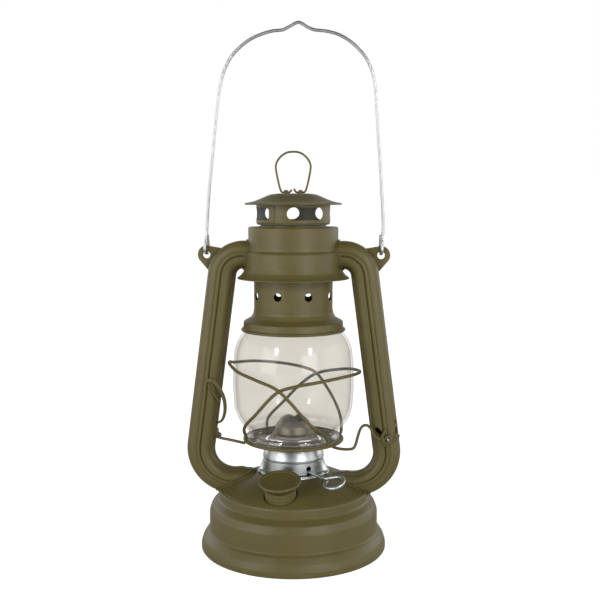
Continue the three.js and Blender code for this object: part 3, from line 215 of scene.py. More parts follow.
# Ear: directions, radii of the lug, its root and its hole, and thickness of the plate and the bead
EAR_HEADING, EAR_WRAP, EAR_FLARE = math.radians(29.65), math.radians(76), math.radians(34.6)
EAR_RADIUS, EAR_ROOT, EAR_HOLE, EAR_PLATE, EAR_BEAD = 6.0, 19.3, 2.6, 1.2, 1.5
SIDES = ((-1, "left"), (1, "right"))

# Side tubes: half widths away from the lantern and towards it, depth, bends and how flat each lower end is
TUBE_OUTER, TUBE_INNER, TUBE_DEPTH = 9.6, 8.4, 20.0
TUBE_TOP_CENTRE, TUBE_TOP_BEND, TUBE_TOP_END = (35.0, 191.6), 14.5, 28.0
TUBE_LOW_CENTRE, TUBE_LOW_BEND, TUBE_LOW_END = (42.7, 70.0), 22.55, 9.0
TUBE_SLANT, TUBE_TILT = math.radians(7.64), math.radians(13)
TUBE_FLAT = {1: 0.66, -1: 0.84}
SEAM_START, SEAM_FADE, SEAM_DIP = 150, 30, 0.75
# Pressed bead down the front and back of a tube: place outwards of the centre line and rise of the skin
TUBE_BEAD = (
    (2.7, 0), (2.4, -0.3), (2.15, -0.3), (1.9, 0.05), (1.5, 0.3), (0.9, 0.35), (0.3, 0.28), (-0.05, 0),
    (-0.35, -0.9), (-0.6, -1.1), (-0.85, -0.9), (-1.15, -0.05), (-1.5, 0),
)
# Ridge down the face towards the lantern: rise and place across
INNER_RIDGE = ((0, 1.1), (1.25, 0.8), (1.25, -0.8), (0, -1.1))
# Lips round a tube's foot: growth of the tube, and how far off the tank they end and begin
LOW_LIPS = ((1.0, 1.0, 0.05), (0.7, 2.5, 1.6))


class Sizes(bpy.types.PropertyGroup):
    """Sizes that a user would change."""

    cage_wire: bpy.props.FloatProperty(
        name="Cage wire", description="Thickness of the wires round the globe", default=2.2 * MM,
        unit="LENGTH")
    bail_wire: bpy.props.FloatProperty(
        name="Bail wire", description="Thickness of the carrying bail", default=2.2 * MM, unit="LENGTH")
    lever_wire: bpy.props.FloatProperty(
        name="Lever wire", description="Thickness of the lift lever and the plate arm", default=2.0 * MM,
        unit="LENGTH")
    ring_wire: bpy.props.FloatProperty(
        name="Lift ring wire", description="Thickness of the ring on the crown", default=1.4 * MM,
        unit="LENGTH")
    globe_wall: bpy.props.FloatProperty(
        name="Globe wall", description="Thickness of the glass", default=1.8 * MM, unit="LENGTH")
    vent_width: bpy.props.FloatProperty(
        name="Vent width", description="Diameter of the holes in the chimney", default=5.7 * MM,
        unit="LENGTH")
    sides: bpy.props.IntProperty(
        name="Sides", description="Number of faces round a large turned piece", default=96, min=24, max=256)


class Finishes(bpy.types.PropertyGroup):
    """Colours that a user would change."""

    paint: bpy.props.FloatVectorProperty(
        name="Paint", description="Olive enamel on the pressed steel", subtype="COLOR", size=3,
        default=(0.134, 0.108, 0.031), min=0, max=1)
    zinc: bpy.props.FloatVectorProperty(
        name="Zinc", description="Bright plating of the burner", subtype="COLOR", size=3,
        default=(0.60, 0.64, 0.63), min=0, max=1)
    wire: bpy.props.FloatVectorProperty(
        name="Wire", description="Bright plating of the bail", subtype="COLOR", size=3,
        default=(0.56, 0.57, 0.56), min=0, max=1)
    glass: bpy.props.FloatVectorProperty(
        name="Glass", description="Tint of the globe", subtype="COLOR", size=3,
        default=(0.895, 0.885, 0.86), min=0, max=1)
    wick: bpy.props.FloatVectorProperty(
        name="Wick", description="Woven cotton of the wick", subtype="COLOR", size=3,
        default=(0.72, 0.66, 0.52), min=0, max=1)


def sizes():
    return bpy.context.scene.lantern_sizes


def finishes():
    return bpy.context.scene.lantern_finishes


# Shaders

class Signal:
    """An output of a shader node that sums can be written with."""

    def __init__(self, graph, socket):
        self.graph = graph
        self.socket = socket

    def sum(self, operation, left, right):
        return self.graph.add("ShaderNodeMath", {0: left, 1: right}, operation=operation)

    def __add__(self, other):
        return self.sum("ADD", self, other)

    def __radd__(self, other):
        return self.sum("ADD", other, self)

    def __rsub__(self, other):
        return self.sum("SUBTRACT", other, self)

    def __mul__(self, other):
        return self.sum("MULTIPLY", self, other)

    def twin(self, name):
        """Another output of the same node."""
        return Signal(self.graph, self.socket.node.outputs[name])


class Graph:
    """The nodes of one material, or of the world."""

    def __init__(self, name, world=None):
        self.owner = world or bpy.data.materials.new(name)
        self.owner.use_nodes = True
        self.tree = self.owner.node_tree
        self.tree.nodes.clear()
        self.output = self.tree.nodes.new("ShaderNodeOutputWorld" if world else "ShaderNodeOutputMaterial")

    def add(self, kind, values=None, output=0, **settings):
        """A new node with its settings, and its inputs as numbers, colours or signals."""
        node = self.tree.nodes.new(kind)
        for key, value in settings.items():
            if key == "stops":
                self.set_stops(node.color_ramp, value)
            else:
                setattr(node, key, value)
        for key, value in (values or {}).items():
            socket = node.inputs[key]
            if isinstance(value, Signal):
                self.tree.links.new(value.socket, socket)
            else:
                socket.default_value = (*value, 1) if socket.type == "RGBA" else value
        return Signal(self, node.outputs[output])

    def set_stops(self, ramp, stops):
        while len(ramp.elements) < len(stops):
            ramp.elements.new(0.5)
        for element, (place, grey) in zip(ramp.elements, stops):
            element.position = place
            element.color = (grey, grey, grey, 1)

    def place(self):
        return self.add("ShaderNodeTexCoord", output="Object")

    def height(self, place):
        return self.add("ShaderNodeSeparateXYZ", {"Vector": place}, "Z")

    def noise(self, vector, scale, detail=3.0, roughness=0.5):
        return self.add("ShaderNodeTexNoise", {
            "Vector": vector, "Scale": scale, "Detail": detail, "Roughness": roughness})

    def stretched(self, vector, scale):
        return self.add("ShaderNodeMapping", {"Vector": vector, "Scale": scale})

    def levels(self, value, *stops):
        """A ramp through pairs of place and grey."""
        return self.add("ShaderNodeValToRGB", {"Fac": value}, stops=stops)

    def mix(self, share, first, second):
        return self.add("ShaderNodeMix", {0: share, 6: first, 7: second}, 2, data_type="RGBA")

    def length(self, vector):
        return self.add("ShaderNodeVectorMath", {0: vector}, "Value", operation="LENGTH")

    def bump(self, height, distance, strength):
        return self.add("ShaderNodeBump", {"Height": height, "Distance": distance, "Strength": strength})

    def seen(self):
        """The light path, and one where the camera sees the surface, also through glass."""
        path = self.add("ShaderNodeLightPath")
        return path, path.sum("MAXIMUM", path.twin("Is Camera Ray"), path.twin("Is Transmission Ray"))

    def surface(self, colour, roughness, normal, metallic=0.0):
        """Ends the material with one principled shader."""
        return self.finish(self.add("ShaderNodeBsdfPrincipled", {
            "Base Color": colour, "Roughness": roughness, "Normal": normal, "Metallic": metallic}))

    def finish(self, shader):
        self.tree.links.new(shader.socket, self.output.inputs["Surface"])
        return self.owner


def shade(colour, factor):
    return tuple(channel * factor for channel in colour)


def painted(name, inner=None):
    """Olive enamel: an even colour with faint clouds, a pebbled skin, pale smears and dark specks.

    Inner is a radius, a height and a colour, which the paint has inside the radius and below the height; it
    paints the shade inside the chimney and the lighter inside of the crown.
    """
    graph = Graph(name)
    place = graph.place()
    clouds = graph.noise(place, 34.0, 4.0, 0.55)
    skin = graph.noise(place, 2600.0, 2.0, 0.5)
    smears = graph.noise(place, 210.0, 5.0, 0.65)
    base = tuple(finishes().paint)
    colour = graph.mix(graph.levels(clouds, (0.35, 0.0), (0.68, 1.0)), shade(base, 0.93), shade(base, 1.07))
    colour = graph.mix(graph.levels(smears, (0.62, 0.0), (0.80, 0.22)), colour, shade(base, 1.25))
    specks = graph.levels(graph.noise(place, 900.0, 1.0, 0.4), (0.70, 0.0), (0.76, 0.30))
    colour = graph.mix(specks, colour, shade(base, 0.62))
    if inner:
        radius_limit, height_limit, inner_colour = inner
        across = graph.add("ShaderNodeVectorMath", {0: place, 1: (1, 1, 0)}, operation="MULTIPLY")
        radius, height = graph.length(across), graph.height(place)
        inside = radius.sum("LESS_THAN", radius, radius_limit) * height.sum("LESS_THAN", height, height_limit)
        colour = graph.mix(inside, colour, inner_colour)
    roughness = 0.37 + smears * 0.10 + clouds * 0.05
    return graph.surface(colour, roughness, graph.bump(skin * 0.7 + smears * 0.3, 0.04 * MM, 0.5))


def plated(name, tint, rough, lines=(60.0, 60.0, 5200.0)):
    """Plated metal: fine lines, dense along X, Y and Z by the given scales, a cloudy bloom and dull spots."""
    graph = Graph(name)
    place = graph.place()
    streaks = graph.noise(graph.stretched(place, lines), 1.0, 3.0, 0.6)
    bloom = graph.noise(place, 120.0, 4.0, 0.6)
    spots = graph.levels(graph.noise(place, 700.0, 2.0, 0.5), (0.63, 0.0), (0.74, 0.5))
    colour = graph.mix(graph.levels(bloom, (0.35, 0.0), (0.7, 1.0)), shade(tint, 0.90), shade(tint, 1.05))
    colour = graph.mix(spots, colour, shade(tint, 0.72))
    roughness = rough + streaks * 0.10 + bloom * 0.08
    return graph.surface(colour, roughness, graph.bump(streaks, 0.02 * MM, 0.35), 1.0)


def clear_glass(name):
    """Pressed glass with faint waves, a thin haze, a few specks of dust and a rough foot.

    It is a clear body under a bright shine, which grows towards the edges and on the foot.
    """
    graph = Graph(name)
    place = graph.place()
    waves = graph.noise(graph.stretched(place, (24.0, 24.0, 60.0)), 1.0, 2.0, 0.4)
    dust = graph.levels(graph.noise(place, 520.0, 3.0, 0.6), (0.66, 0.0), (0.80, 0.25))
    foot = graph.levels(graph.height(place) * 10.0, (0.86, 1.0), (0.885, 0.0))
    relief = waves + foot * graph.noise(place, 420.0, 2.0, 0.5)
    shine = graph.add("ShaderNodeBsdfPrincipled", {
        "Base Color": (0.96, 0.96, 0.95), "Metallic": 1.0, "Roughness": 0.12 + dust * 0.2,
        "Normal": graph.bump(relief, 0.4 * MM, 0.15)})
    haze = graph.add("ShaderNodeBsdfPrincipled", {
        "Base Color": (0.80, 0.79, 0.76), "Roughness": 0.9, "Specular IOR Level": 0.0})
    clear = graph.add("ShaderNodeBsdfTransparent", {"Color": tuple(finishes().glass)})
    body = graph.add("ShaderNodeMixShader", {0: 0.04 + dust * 0.08, 1: clear, 2: haze})
    edge = graph.add("ShaderNodeLayerWeight", {"Blend": 0.5}, "Facing")
    share = 0.025 + graph.levels(edge, (0.62, 0.0), (1.0, 1.0)) * 0.38 + foot * 0.12
    return graph.finish(graph.add("ShaderNodeMixShader", {0: share, 1: body, 2: shine}))


def woven_cotton(name):
    """Woven cotton tape, its tip darkened."""
    graph = Graph(name)
    place = graph.place()
    bands = {"Vector": place, "Scale": 420.0, "Distortion": 1.5, "Detail": 2.0}
    weave = graph.add("ShaderNodeTexWave", bands, wave_type="BANDS", bands_direction="Z")
    strands = graph.noise(place, 1500.0, 2.0, 0.5)
    base = tuple(finishes().wick)
    colour = graph.mix(graph.levels(strands, (0.3, 0.0), (0.7, 1.0)), shade(base, 0.8), base)
    tip = graph.levels(graph.height(place) * 10.0, (0.84, 0.0), (0.87, 1.0))
    colour = graph.mix(tip, colour, (0.020, 0.018, 0.016))
    return graph.surface(colour, 0.9 + strands * 0.05, graph.bump(weave, 0.2 * MM, 0.7))


def black_rubber(name):
    """Dull rubber with a faint mottle."""
    graph = Graph(name)
    mottle = graph.noise(graph.place(), 900.0, 3.0, 0.6)
    colour = graph.mix(mottle, (0.012, 0.012, 0.011), (0.030, 0.029, 0.027))
    return graph.surface(colour, 0.72 + mottle * 0.12, graph.bump(mottle, 0.04 * MM, 0.5))


MATERIALS = {}
# Painted shade: the chimney's inside, within the radius and below the top, is painted near black.
CHIMNEY_SHADE_RADIUS, CHIMNEY_SHADE_TOP, CHIMNEY_SHADE = 26.95 * MM, 198.5 * MM, (0.010, 0.009, 0.008)
# The crown's inside is a lighter grey than the olive: partly its own grey, partly painted light for the
# little light that reaches in.
CROWN_LIGHTENED_RADIUS, CROWN_INSIDE_LIGHTENED = 25.1 * MM, (0.24, 0.22, 0.17)
DULL_ZINC, STEEL = (0.3844, 0.3534, 0.31), (0.42, 0.42, 0.40)
ALONG_THE_BAIL = (240.0, 240.0, 40.0)


def material(kind):
    makers = {
        "paint": lambda: painted("olive_paint"),
        "chimney_shaded_paint": lambda: painted("chimney_shaded_paint", (CHIMNEY_SHADE_RADIUS, CHIMNEY_SHADE_TOP, CHIMNEY_SHADE)),
        "crown_paint": lambda: painted("crown_paint", (CROWN_LIGHTENED_RADIUS, 1.0, CROWN_INSIDE_LIGHTENED)),
        "zinc": lambda: plated("bright_zinc", tuple(finishes().zinc), 0.26),
        "inner_zinc": lambda: plated("dull_zinc", DULL_ZINC, 0.36),
        "bail_wire": lambda: plated("bail_zinc", tuple(finishes().wire), 0.28, ALONG_THE_BAIL),
        "spring_steel": lambda: plated("spring_steel", STEEL, 0.30),
        "glass": lambda: clear_glass("clear_glass"),
        "cotton": lambda: woven_cotton("woven_cotton"),
        "rubber": lambda: black_rubber("black_rubber"),
    }
    if kind not in MATERIALS:
        MATERIALS[kind] = makers[kind]()
    return MATERIALS[kind]


# Shaping helpers

def corner(before, here, after, radius, steps):
    """Points of the curve that rounds one corner of an outline."""
    middle = Vector(here[:2])
    first, second = Vector(before[:2]) - middle, Vector(after[:2]) - middle
    bend = first.angle(second, math.pi)
    if radius <= 0 or math.pi - bend < LEAST_BEND:
        return [tuple(middle)]
    reach = min(radius / math.tan(bend / 2), first.length * 0.49, second.length * 0.49)
    start, end = middle + first.normalized() * reach, middle + second.normalized() * reach
    curve = []
    for step in range(steps + 1):
        share = step / steps
        curve.append(tuple(start * (1 - share) ** 2 + middle * (2 * share * (1 - share)) + end * share ** 2))
    return curve


def rounded(outline, steps=5):
    """The outline with the corners that name a radius rounded."""
    points = []
    for index, point in enumerate(outline):
        inner = 0 < index < len(outline) - 1
        if inner and len(point) > 2:
            points += corner(outline[index - 1], point, outline[index + 1], point[2], steps)
        else:
            points.append((point[0], point[1]))
    return points


def walled(points, wall):
    """A sheet of that wall: the outline and its offset, as one closed loop."""
    normals = []
    for (r0, z0), (r1, z1) in zip(points, points[1:]):
        step = Vector((r1 - r0, z1 - z0)).normalized()
        normals.append(Vector((-step.y, step.x)))
    inner = []
    for index, (radius, level) in enumerate(points):
        before = normals[max(index - 1, 0)]
        after = normals[min(index, len(normals) - 1)]
        mitre = (before + after) / max(1 + before.dot(after), 0.5)
        inner_radius = 0.0 if radius == 0 else max(radius + mitre.x * wall, LEAST_RADIUS)
        inner.append(Vector((inner_radius, level + mitre.y * wall)))
    return points + unfolded(points, inner)[::-1]


def unfolded(points, inner):
    """The offset line without the small loops that tight corners make."""
    for _ in range(MOST_PASSES):
        folds = 0
        for index in range(len(inner) - 1):
            along = Vector(points[index + 1]) - Vector(points[index])
            if (inner[index + 1] - inner[index]).dot(along) < -1e-9:
                inner[index] = inner[index + 1] = (inner[index] + inner[index + 1]) / 2
                folds += 1
        if not folds:
            break
    kept = [inner[0]]
    for place in inner[1:]:
        if (place - kept[-1]).length > LEAST_STEP:
            kept.append(place)
    return [tuple(place) for place in kept]


def turned(outline, sides, closed=True):
    """A mesh turned about the upright axis from an outline."""
    mesh = bmesh.new()
    verts = [mesh.verts.new((radius * MM, 0, level * MM)) for radius, level in outline]
    edges = [mesh.edges.new(pair) for pair in zip(verts, verts[1:])]
    if closed:
        edges.append(mesh.edges.new((verts[-1], verts[0])))
    bmesh.ops.spin(
        mesh, geom=verts + edges, cent=(0, 0, 0), axis=(0, 0, 1), angle=FULL_TURN, steps=sides,
        use_merge=True, use_duplicate=False)
    bmesh.ops.remove_doubles(mesh, verts=mesh.verts, dist=1e-6)
    bmesh.ops.dissolve_degenerate(mesh, edges=mesh.edges, dist=1e-7)
    return mesh


def turned_sheet(outline, sides=None, wall=SHEET):
    """A turned sheet; a large one has the number of faces that the user sets."""
    points = rounded(outline)
    on_axis = 0 in (points[0][0], points[-1][0])
    loop = walled(points, wall)
    if on_axis:
        loop = loop[len(points):] + loop[:len(points)]
    return turned(loop, sides or sizes().sides, closed=not on_axis)


def turned_solid(outline, sides=None):
    points = rounded(outline)
    return turned(points, sides or sizes().sides, closed=points[0][0] != 0 or points[-1][0] != 0)


def smooth_route(points, steps):
    """Points of a smooth curve through the given ones."""
    knots = [Vector(point) for point in points]
    route = []
    for index in range(len(knots) - 1):
        before = knots[index - 1] if index else knots[0] * 2 - knots[1]
        start, end = knots[index], knots[index + 1]
        after = knots[index + 2] if index + 2 < len(knots) else end * 2 - start
        times = [0.0]
        for a, b in ((before, start), (start, end), (end, after)):
            times.append(times[-1] + max((b - a).length, 1e-6) ** 0.5)
        for step in range(steps):
            now = times[1] + (times[2] - times[1]) * step / steps

            def between(a, b, low, high):
                return a.lerp(b, (now - times[low]) / (times[high] - times[low]))

            middle = between(start, end, 1, 2)
            early = between(between(before, start, 0, 1), middle, 0, 2)
            late = between(middle, between(end, after, 2, 3), 1, 3)
            route.append(between(early, late, 1, 2))
    route.append(knots[-1])
    return route


def stations(route, up=None):
    """One matrix for each place on the route: its Z along the route, turning no more than the route does."""
    matrices = []
    for index, place in enumerate(route):
        before, after = route[max(index - 1, 0)], route[min(index + 1, len(route) - 1)]
        heading = (after - before).normalized()
        if not index:
            side = up or heading.orthogonal().normalized()
        side = (side - heading * side.dot(heading)).normalized()
        turn = Matrix((side, heading.cross(side), heading)).transposed().to_4x4()
        matrices.append(Matrix.Translation(place * MM) @ turn)
    return matrices


def drawn(rings):
    """A closed mesh through rings of as many places each, in metres: the first is drawn out ring by ring."""
    mesh = bmesh.new()
    verts = [mesh.verts.new(place) for place in rings[0]]
    first = ring = [mesh.edges.new((verts[i - 1], verts[i])) for i in range(len(verts))]
    for _ in rings[1:]:
        grown = bmesh.ops.extrude_edge_only(mesh, edges=ring)["geom"]
        ring = [item for item in grown if isinstance(item, bmesh.types.BMEdge)]
    for vert, place in zip(mesh.verts, [place for places in rings for place in places]):
        vert.co = place
    bmesh.ops.holes_fill(mesh, edges=first + ring, sides=len(verts))
    bmesh.ops.recalc_face_normals(mesh, faces=mesh.faces)
    return mesh


def swept(section, places):
    """A closed mesh whose section, in millimetres, is carried along the places."""
    return drawn([[place @ Vector((x * MM, y * MM, 0)) for x, y in section] for place in places])


def arc(radius, start, end, steps, centre=(0, 0)):
    """Points from one angle of a circle to another, with both ends."""
    angles = [start + (end - start) * index / steps for index in range(steps + 1)]
    return [(centre[0] + radius * math.cos(angle), centre[1] + radius * math.sin(angle)) for angle in angles]


def circle(radius, count):
    return arc(radius, 0, FULL_TURN, count)[:-1]


def wire(points, thickness, steps=8, count=12):
    """A round wire, in millimetres, through the points."""
    return swept(circle(thickness / 2, count), stations(smooth_route(points, steps)))


def joined(*meshes):
    """One mesh from several."""
    whole = bmesh.new()
    for part in meshes:
        kept = bpy.data.meshes.new("part")
        part.to_mesh(kept)
        part.free()
        whole.from_mesh(kept)
        bpy.data.meshes.remove(kept)
    return whole


def as_object(mesh, name):
    data = bpy.data.meshes.new(name)
    mesh.to_mesh(data)
    mesh.free()
    made = bpy.data.objects.new(name, data)
    bpy.context.scene.collection.objects.link(made)
    return made


def carved(mesh, *cutters, operation="DIFFERENCE"):
    """The mesh less the cutters, or the share of it inside them."""
    bmesh.ops.recalc_face_normals(mesh, faces=mesh.faces)
    body = as_object(mesh, "carved_body")
    for cutter in cutters:
        bmesh.ops.recalc_face_normals(cutter, faces=cutter.faces)
        tool = as_object(cutter, "carving_tool")
        modifier = body.modifiers.new("carve", "BOOLEAN")
        modifier.operation = operation
        modifier.solver = "EXACT"
        modifier.object = tool
        graph = bpy.context.evaluated_depsgraph_get()
        result = bpy.data.meshes.new_from_object(body.evaluated_get(graph))
        body.modifiers.clear()
        body.data = result
        bpy.data.objects.remove(tool)
    out = bmesh.new()
    out.from_mesh(body.data)
    bpy.data.objects.remove(body)
    return out


def moved(mesh, matrix):
    bmesh.ops.transform(mesh, matrix=matrix, verts=mesh.verts)
    return mesh


def at(x, y, z, angle=0.0, axis="X"):
    """A place in millimetres and a turn about it."""
    return Matrix.Translation((x * MM, y * MM, z * MM)) @ Matrix.Rotation(angle, 4, axis)


def spun(angle):
    """A turn about the upright axis."""
    return Matrix.Rotation(angle, 4, "Z")


def peg(radius, length, count=32):
    """A cylinder about Z, centred, in millimetres."""
    mesh = bmesh.new()
    bmesh.ops.create_cone(
        mesh, cap_ends=True, segments=count, radius1=radius * MM, radius2=radius * MM, depth=length * MM)
    return mesh


def slab(outline, thickness):
    """A plate across Y, centred, from an outline of X and level, in millimetres."""
    mesh = bmesh.new()
    face = mesh.faces.new([mesh.verts.new((x * MM, -thickness / 2 * MM, z * MM)) for x, z in outline])
    grown = bmesh.ops.extrude_face_region(mesh, geom=[face])["geom"]
    fresh = [item for item in grown if isinstance(item, bmesh.types.BMVert)]
    bmesh.ops.translate(mesh, verts=fresh, vec=(0, thickness * MM, 0))
    bmesh.ops.recalc_face_normals(mesh, faces=mesh.faces)
    return mesh


def sector(outline, start, sweep, steps=8):
    """A part of a turned ring, from an outline of radius and level; angles in degrees from the front."""
    mesh = bmesh.new()
    face = mesh.faces.new([mesh.verts.new((0, -radius * MM, level * MM)) for radius, level in outline])
    moved(mesh, spun(math.radians(start)))
    bmesh.ops.spin(
        mesh, geom=[face], cent=(0, 0, 0), axis=(0, 0, 1), angle=math.radians(sweep), steps=steps,
        use_merge=False, use_duplicate=False)
    bmesh.ops.recalc_face_normals(mesh, faces=mesh.faces)
    return mesh


def core(outline, floor, grow):
    """The solid inside an outline that rises from the floor level, grown by a margin."""
    points = rounded(outline)
    outer = walled(points, -grow)[len(points):][::-1]
    return turned([(0.0, floor), (outer[0][0], floor)] + outer + [(0.0, outer[-1][1])], 96, closed=False)


def brick(low, high, bevel=0.0):
    """A block between two corners, in millimetres."""
    mesh = bmesh.new()
    bmesh.ops.create_cube(mesh, size=1.0)
    size = [(b - a) * MM for a, b in zip(low, high)]
    centre = [(b + a) / 2 for a, b in zip(low, high)]
    moved(mesh, at(*centre) @ Matrix.Diagonal((*size, 1)))
    if bevel:
        softened(mesh, mesh.edges, bevel, 3)
    return mesh


def softened(mesh, edges, offset, segments):
    """Bevels the edges."""
    bmesh.ops.bevel(
        mesh, geom=list(edges), offset=offset * MM, affect="EDGES", segments=segments, profile=0.5,
        material=-1)


def mirrored(mesh):
    bmesh.ops.scale(mesh, vec=(-1, 1, 1), verts=mesh.verts)
    bmesh.ops.reverse_faces(mesh, faces=mesh.faces)
    return mesh


def piece(mesh, name, node, kind="paint", body="lantern_frame", sharp=38.0):
    """Makes a mesh one piece of the lantern, in place of a node: its shading, material and body."""
    bmesh.ops.recalc_face_normals(mesh, faces=mesh.faces)
    limit = math.radians(sharp)
    for face in mesh.faces:
        face.smooth = True
    for edge in mesh.edges:
        edge.smooth = edge.calc_face_angle(math.pi) < limit
    made = as_object(mesh, name)
    made.data.materials.append(material(kind))
    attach(made, body)
    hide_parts(node)


# Where the pieces of the filler and the wick lie

FILLER_PLACE = spun(math.radians(-8.1)) @ at(0, -38.5, 48.62, math.radians(13.1))
WICK_PLACE = spun(math.radians(41.0) - QUARTER)
WICK_OFFSET = 2.1
SHAFT_OFFSET = -2.2
SHAFT_LEVEL = 57.8
SLOT_TOP = SHAFT_LEVEL + 2.0
# Cuts of the burner as corners of blocks, with X along the wick shaft
SHAFT_SLOT = ((16, SHAFT_OFFSET - 1.3, 53), (26, SHAFT_OFFSET + 1.3, SLOT_TOP))
WICK_OPENING = ((-9.0, WICK_OFFSET - 2.2, 74), (9.0, WICK_OFFSET + 2.2, 78))
DOME_GAP = ((-9.5, WICK_OFFSET - 4.4, 86.0), (9.5, WICK_OFFSET + 4.4, 97.0))


def build_tank():
    piece(turned_sheet(TANK), "tank_wall", "tank_shell")
    well = moved(peg(11.5, 14.0, 48), FILLER_PLACE)
    piece(carved(turned_sheet(DOME), well), "tank_top", "tank_dome")


def build_filler():
    neck = moved(turned_sheet(NECK, 48, 0.7), FILLER_PLACE)
    piece(neck, "filler_spout", "filler_neck")
    slits = [moved(brick(*CAP_SLIT), spun(index * FULL_TURN / CAP_TEETH)) for index in range(CAP_TEETH)]
    cap = carved(turned_solid(CAP, 96), joined(*slits))
    piece(moved(cap, FILLER_PLACE), "screw_cap", "filler_cap", body="filler_cap")


def build_burner():
    tabs = [sector(COLLAR_TAB, turn - 17, 34) for turn in (90, 270)]
    collar = joined(turned_solid(COLLAR, 96), *tabs)
    piece(collar, "burner_seat", "burner_collar", "zinc")
    hole = peg(SHAFT_HOLE, 12.0)
    moved(hole, WICK_PLACE @ at(21, SHAFT_OFFSET, SLOT_TOP, QUARTER, "Y"))
    cuts = [moved(brick(*corners), WICK_PLACE) for corners in (SHAFT_SLOT, WICK_OPENING)]
    shell = carved(lobed(turned_sheet(BURNER, 192, 0.4)), hole, *cuts)
    piece(shell, "burner_shell", "burner_body", "zinc")
    dome = carved(turned_sheet(FLAME_DOME, 72), moved(brick(*DOME_GAP), WICK_PLACE))
    piece(dome, "burner_dome", "flame_dome", "inner_zinc")


def lobed(mesh):
    """Pushes the foot of the burner outwards into a lug at each side."""
    spread, reach, top, foot = math.radians(35), 3.7 * MM, 60.2 * MM, 55.5 * MM
    for vert in mesh.verts:
        off_axis = abs(math.atan2(vert.co.y, abs(vert.co.x)))
        if vert.co.z < top and off_axis < spread:
            fade = min((top - vert.co.z) / (top - foot), 1.0) ** 2.2
            push = reach * math.cos(off_axis / spread * QUARTER) ** 2 * fade
            vert.co += Vector((vert.co.x, vert.co.y, 0)).normalized() * push
    return mesh


def build_wick_shaft():
    across, upward = math.cos(KNOB_LEAN), math.sin(KNOB_LEAN)
    route = [(x, SHAFT_OFFSET + y * across, SHAFT_LEVEL + y * upward) for x, y in KNOB]
    knob = moved(wire(route, KNOB_WIRE, 10, 16), WICK_PLACE)
    piece(knob, "wick_knob", "wick_shaft", "zinc", body="wick_shaft")


def plate_holes():
    """Air holes of the globe plate: large and small ones by turns, on two circles."""
    holes = []
    for index in range(PLATE_HOLES):
        radius, width = ((29, 1.5), (25, 1.1))[index % 2]
        holes.append(moved(peg(width, 8.0, 16), spun(index * FULL_TURN / PLATE_HOLES) @ at(radius, 0, 77)))
    return joined(*holes)


def build_globe_carrier():
    plate = carved(turned_solid(PLATE), plate_holes())
    piece(plate, "globe_deck", "globe_plate", body="globe_carrier")
    glass = turned(walled(rounded(GLOBE_OUTER, 6), sizes().globe_wall / MM), sizes().sides)
    piece(glass, "glass_globe", "globe", "glass", body="globe_carrier", sharp=60)
    for side, route in (("right", CAGE_RIGHT), ("left", CAGE_LEFT)):
        points = []
        for turn, level, radius in route:
            angle = math.radians(turn)
            points.append((radius * math.sin(angle), -radius * math.cos(angle), level))
        cage = wire(points, sizes().cage_wire / MM, 7)
        piece(cage, "cage_guard_" + side, "cage_wire_" + side, body="globe_carrier")


def build_chimney():
    piece(turned_sheet(FLANGE), "globe_holder", "chimney_flange", body="chimney")
    vents = []
    for index in range(4):
        turn = math.radians(27 + 45 * index)
        vent = peg(sizes().vent_width / MM / 2, VENT_PEG, 28)
        lean = QUARTER - VENT_FALL * math.cos(turn)
        vents.append(moved(vent, at(0, 0, VENT_LEVEL) @ spun(turn) @ at(0, 0, 0, lean)))
    pipe = carved(turned_sheet(CHIMNEY), *vents)
    # The chimney's inside is painted near black as painted shade.
    piece(pipe, "chimney_pipe", "chimney_tube", "chimney_shaded_paint", body="chimney")


def build_crown():
    windows = []
    for turn in (26, 116, 206, 296):
        windows.append(moved(slot_cutter(*WINDOW), spun(math.radians(turn)) @ at(0, -24, WINDOW_LEVEL)))
    drum = joined(carved(turned_sheet(CROWN), *windows), sector(CROWN_SEAM, -34, 9))
    # The crown's inside gets the lighter grey, partly painted light.
    piece(drum, "crown_wall", "crown_drum", "crown_paint", body="chimney")
    dimples = []
    for index in range(DIMPLES):
        ball = bmesh.new()
        bmesh.ops.create_uvsphere(ball, u_segments=16, v_segments=10, radius=DIMPLE_RADIUS * MM)
        turn = DIMPLE_START + FULL_TURN / DIMPLES * index
        moved(ball, at(DIMPLE_REACH * math.sin(turn), -DIMPLE_REACH * math.cos(turn), DIMPLE_LEVEL))
        dimples.append(ball)
    hood = carved(turned_sheet(HOOD, None, 0.7), joined(*dimples))
    piece(hood, "crown_cover", "crown_hood", body="chimney")
    for side, name in SIDES:
        piece(bridge(side), "ring_strap_" + name, "ring_bridge_" + name, body="chimney")
    tips = [tip + LIFT_RING for tip in (RING_TIP_RIGHT, RING_TIP_LEFT)]
    route = tips[0] + ((0, LIFT_RING_CREST),) + tuple((-x, z) for x, z in reversed(tips[1]))
    ring = wire([(x, 0, z) for x, z in route], sizes().ring_wire / MM, 6)
    piece(ring, "lift_loop", "lift_ring", body="lift_ring")


def slot_cutter(width, height, depth):
    """A prism with round ends, along Y."""
    points = arc(height / 2, -QUARTER, QUARTER, 24, ((width - height) / 2, 0))
    return slab(points + [(-x, -y) for x, y in points], depth)


def bridge(side):
    """A small strap pressed up over the foot of the lift ring."""
    outer = BRIDGE_INNER + BRIDGE_WALL
    foot = HOOD[-1][1]
    over = arc(outer, 0, math.pi, 12, (0, RING_AXIS))
    under = arc(BRIDGE_INNER, math.pi, 0, 12, (0, RING_AXIS))
    section = [(outer, foot), *over, (-outer, foot), (-BRIDGE_INNER, foot), *under, (BRIDGE_INNER, foot)]
    return moved(slab(section, BRIDGE_WIDTH), at(side * BRIDGE_REACH, 0, 0, QUARTER, "Z"))


def build_canopy():
    piece(turned_sheet(CANOPY_BAND), "canopy_skirt", "canopy_band")
    piece(turned_sheet(CANOPY_CAP), "canopy_top", "canopy_cap")


def run(start, end, steps, bend):
    """Places on a straight run, without its start."""
    shares = [index / steps for index in range(1, steps + 1)]
    return [(start[0] + (end[0] - start[0]) * s, start[1] + (end[1] - start[1]) * s, bend) for s in shares]


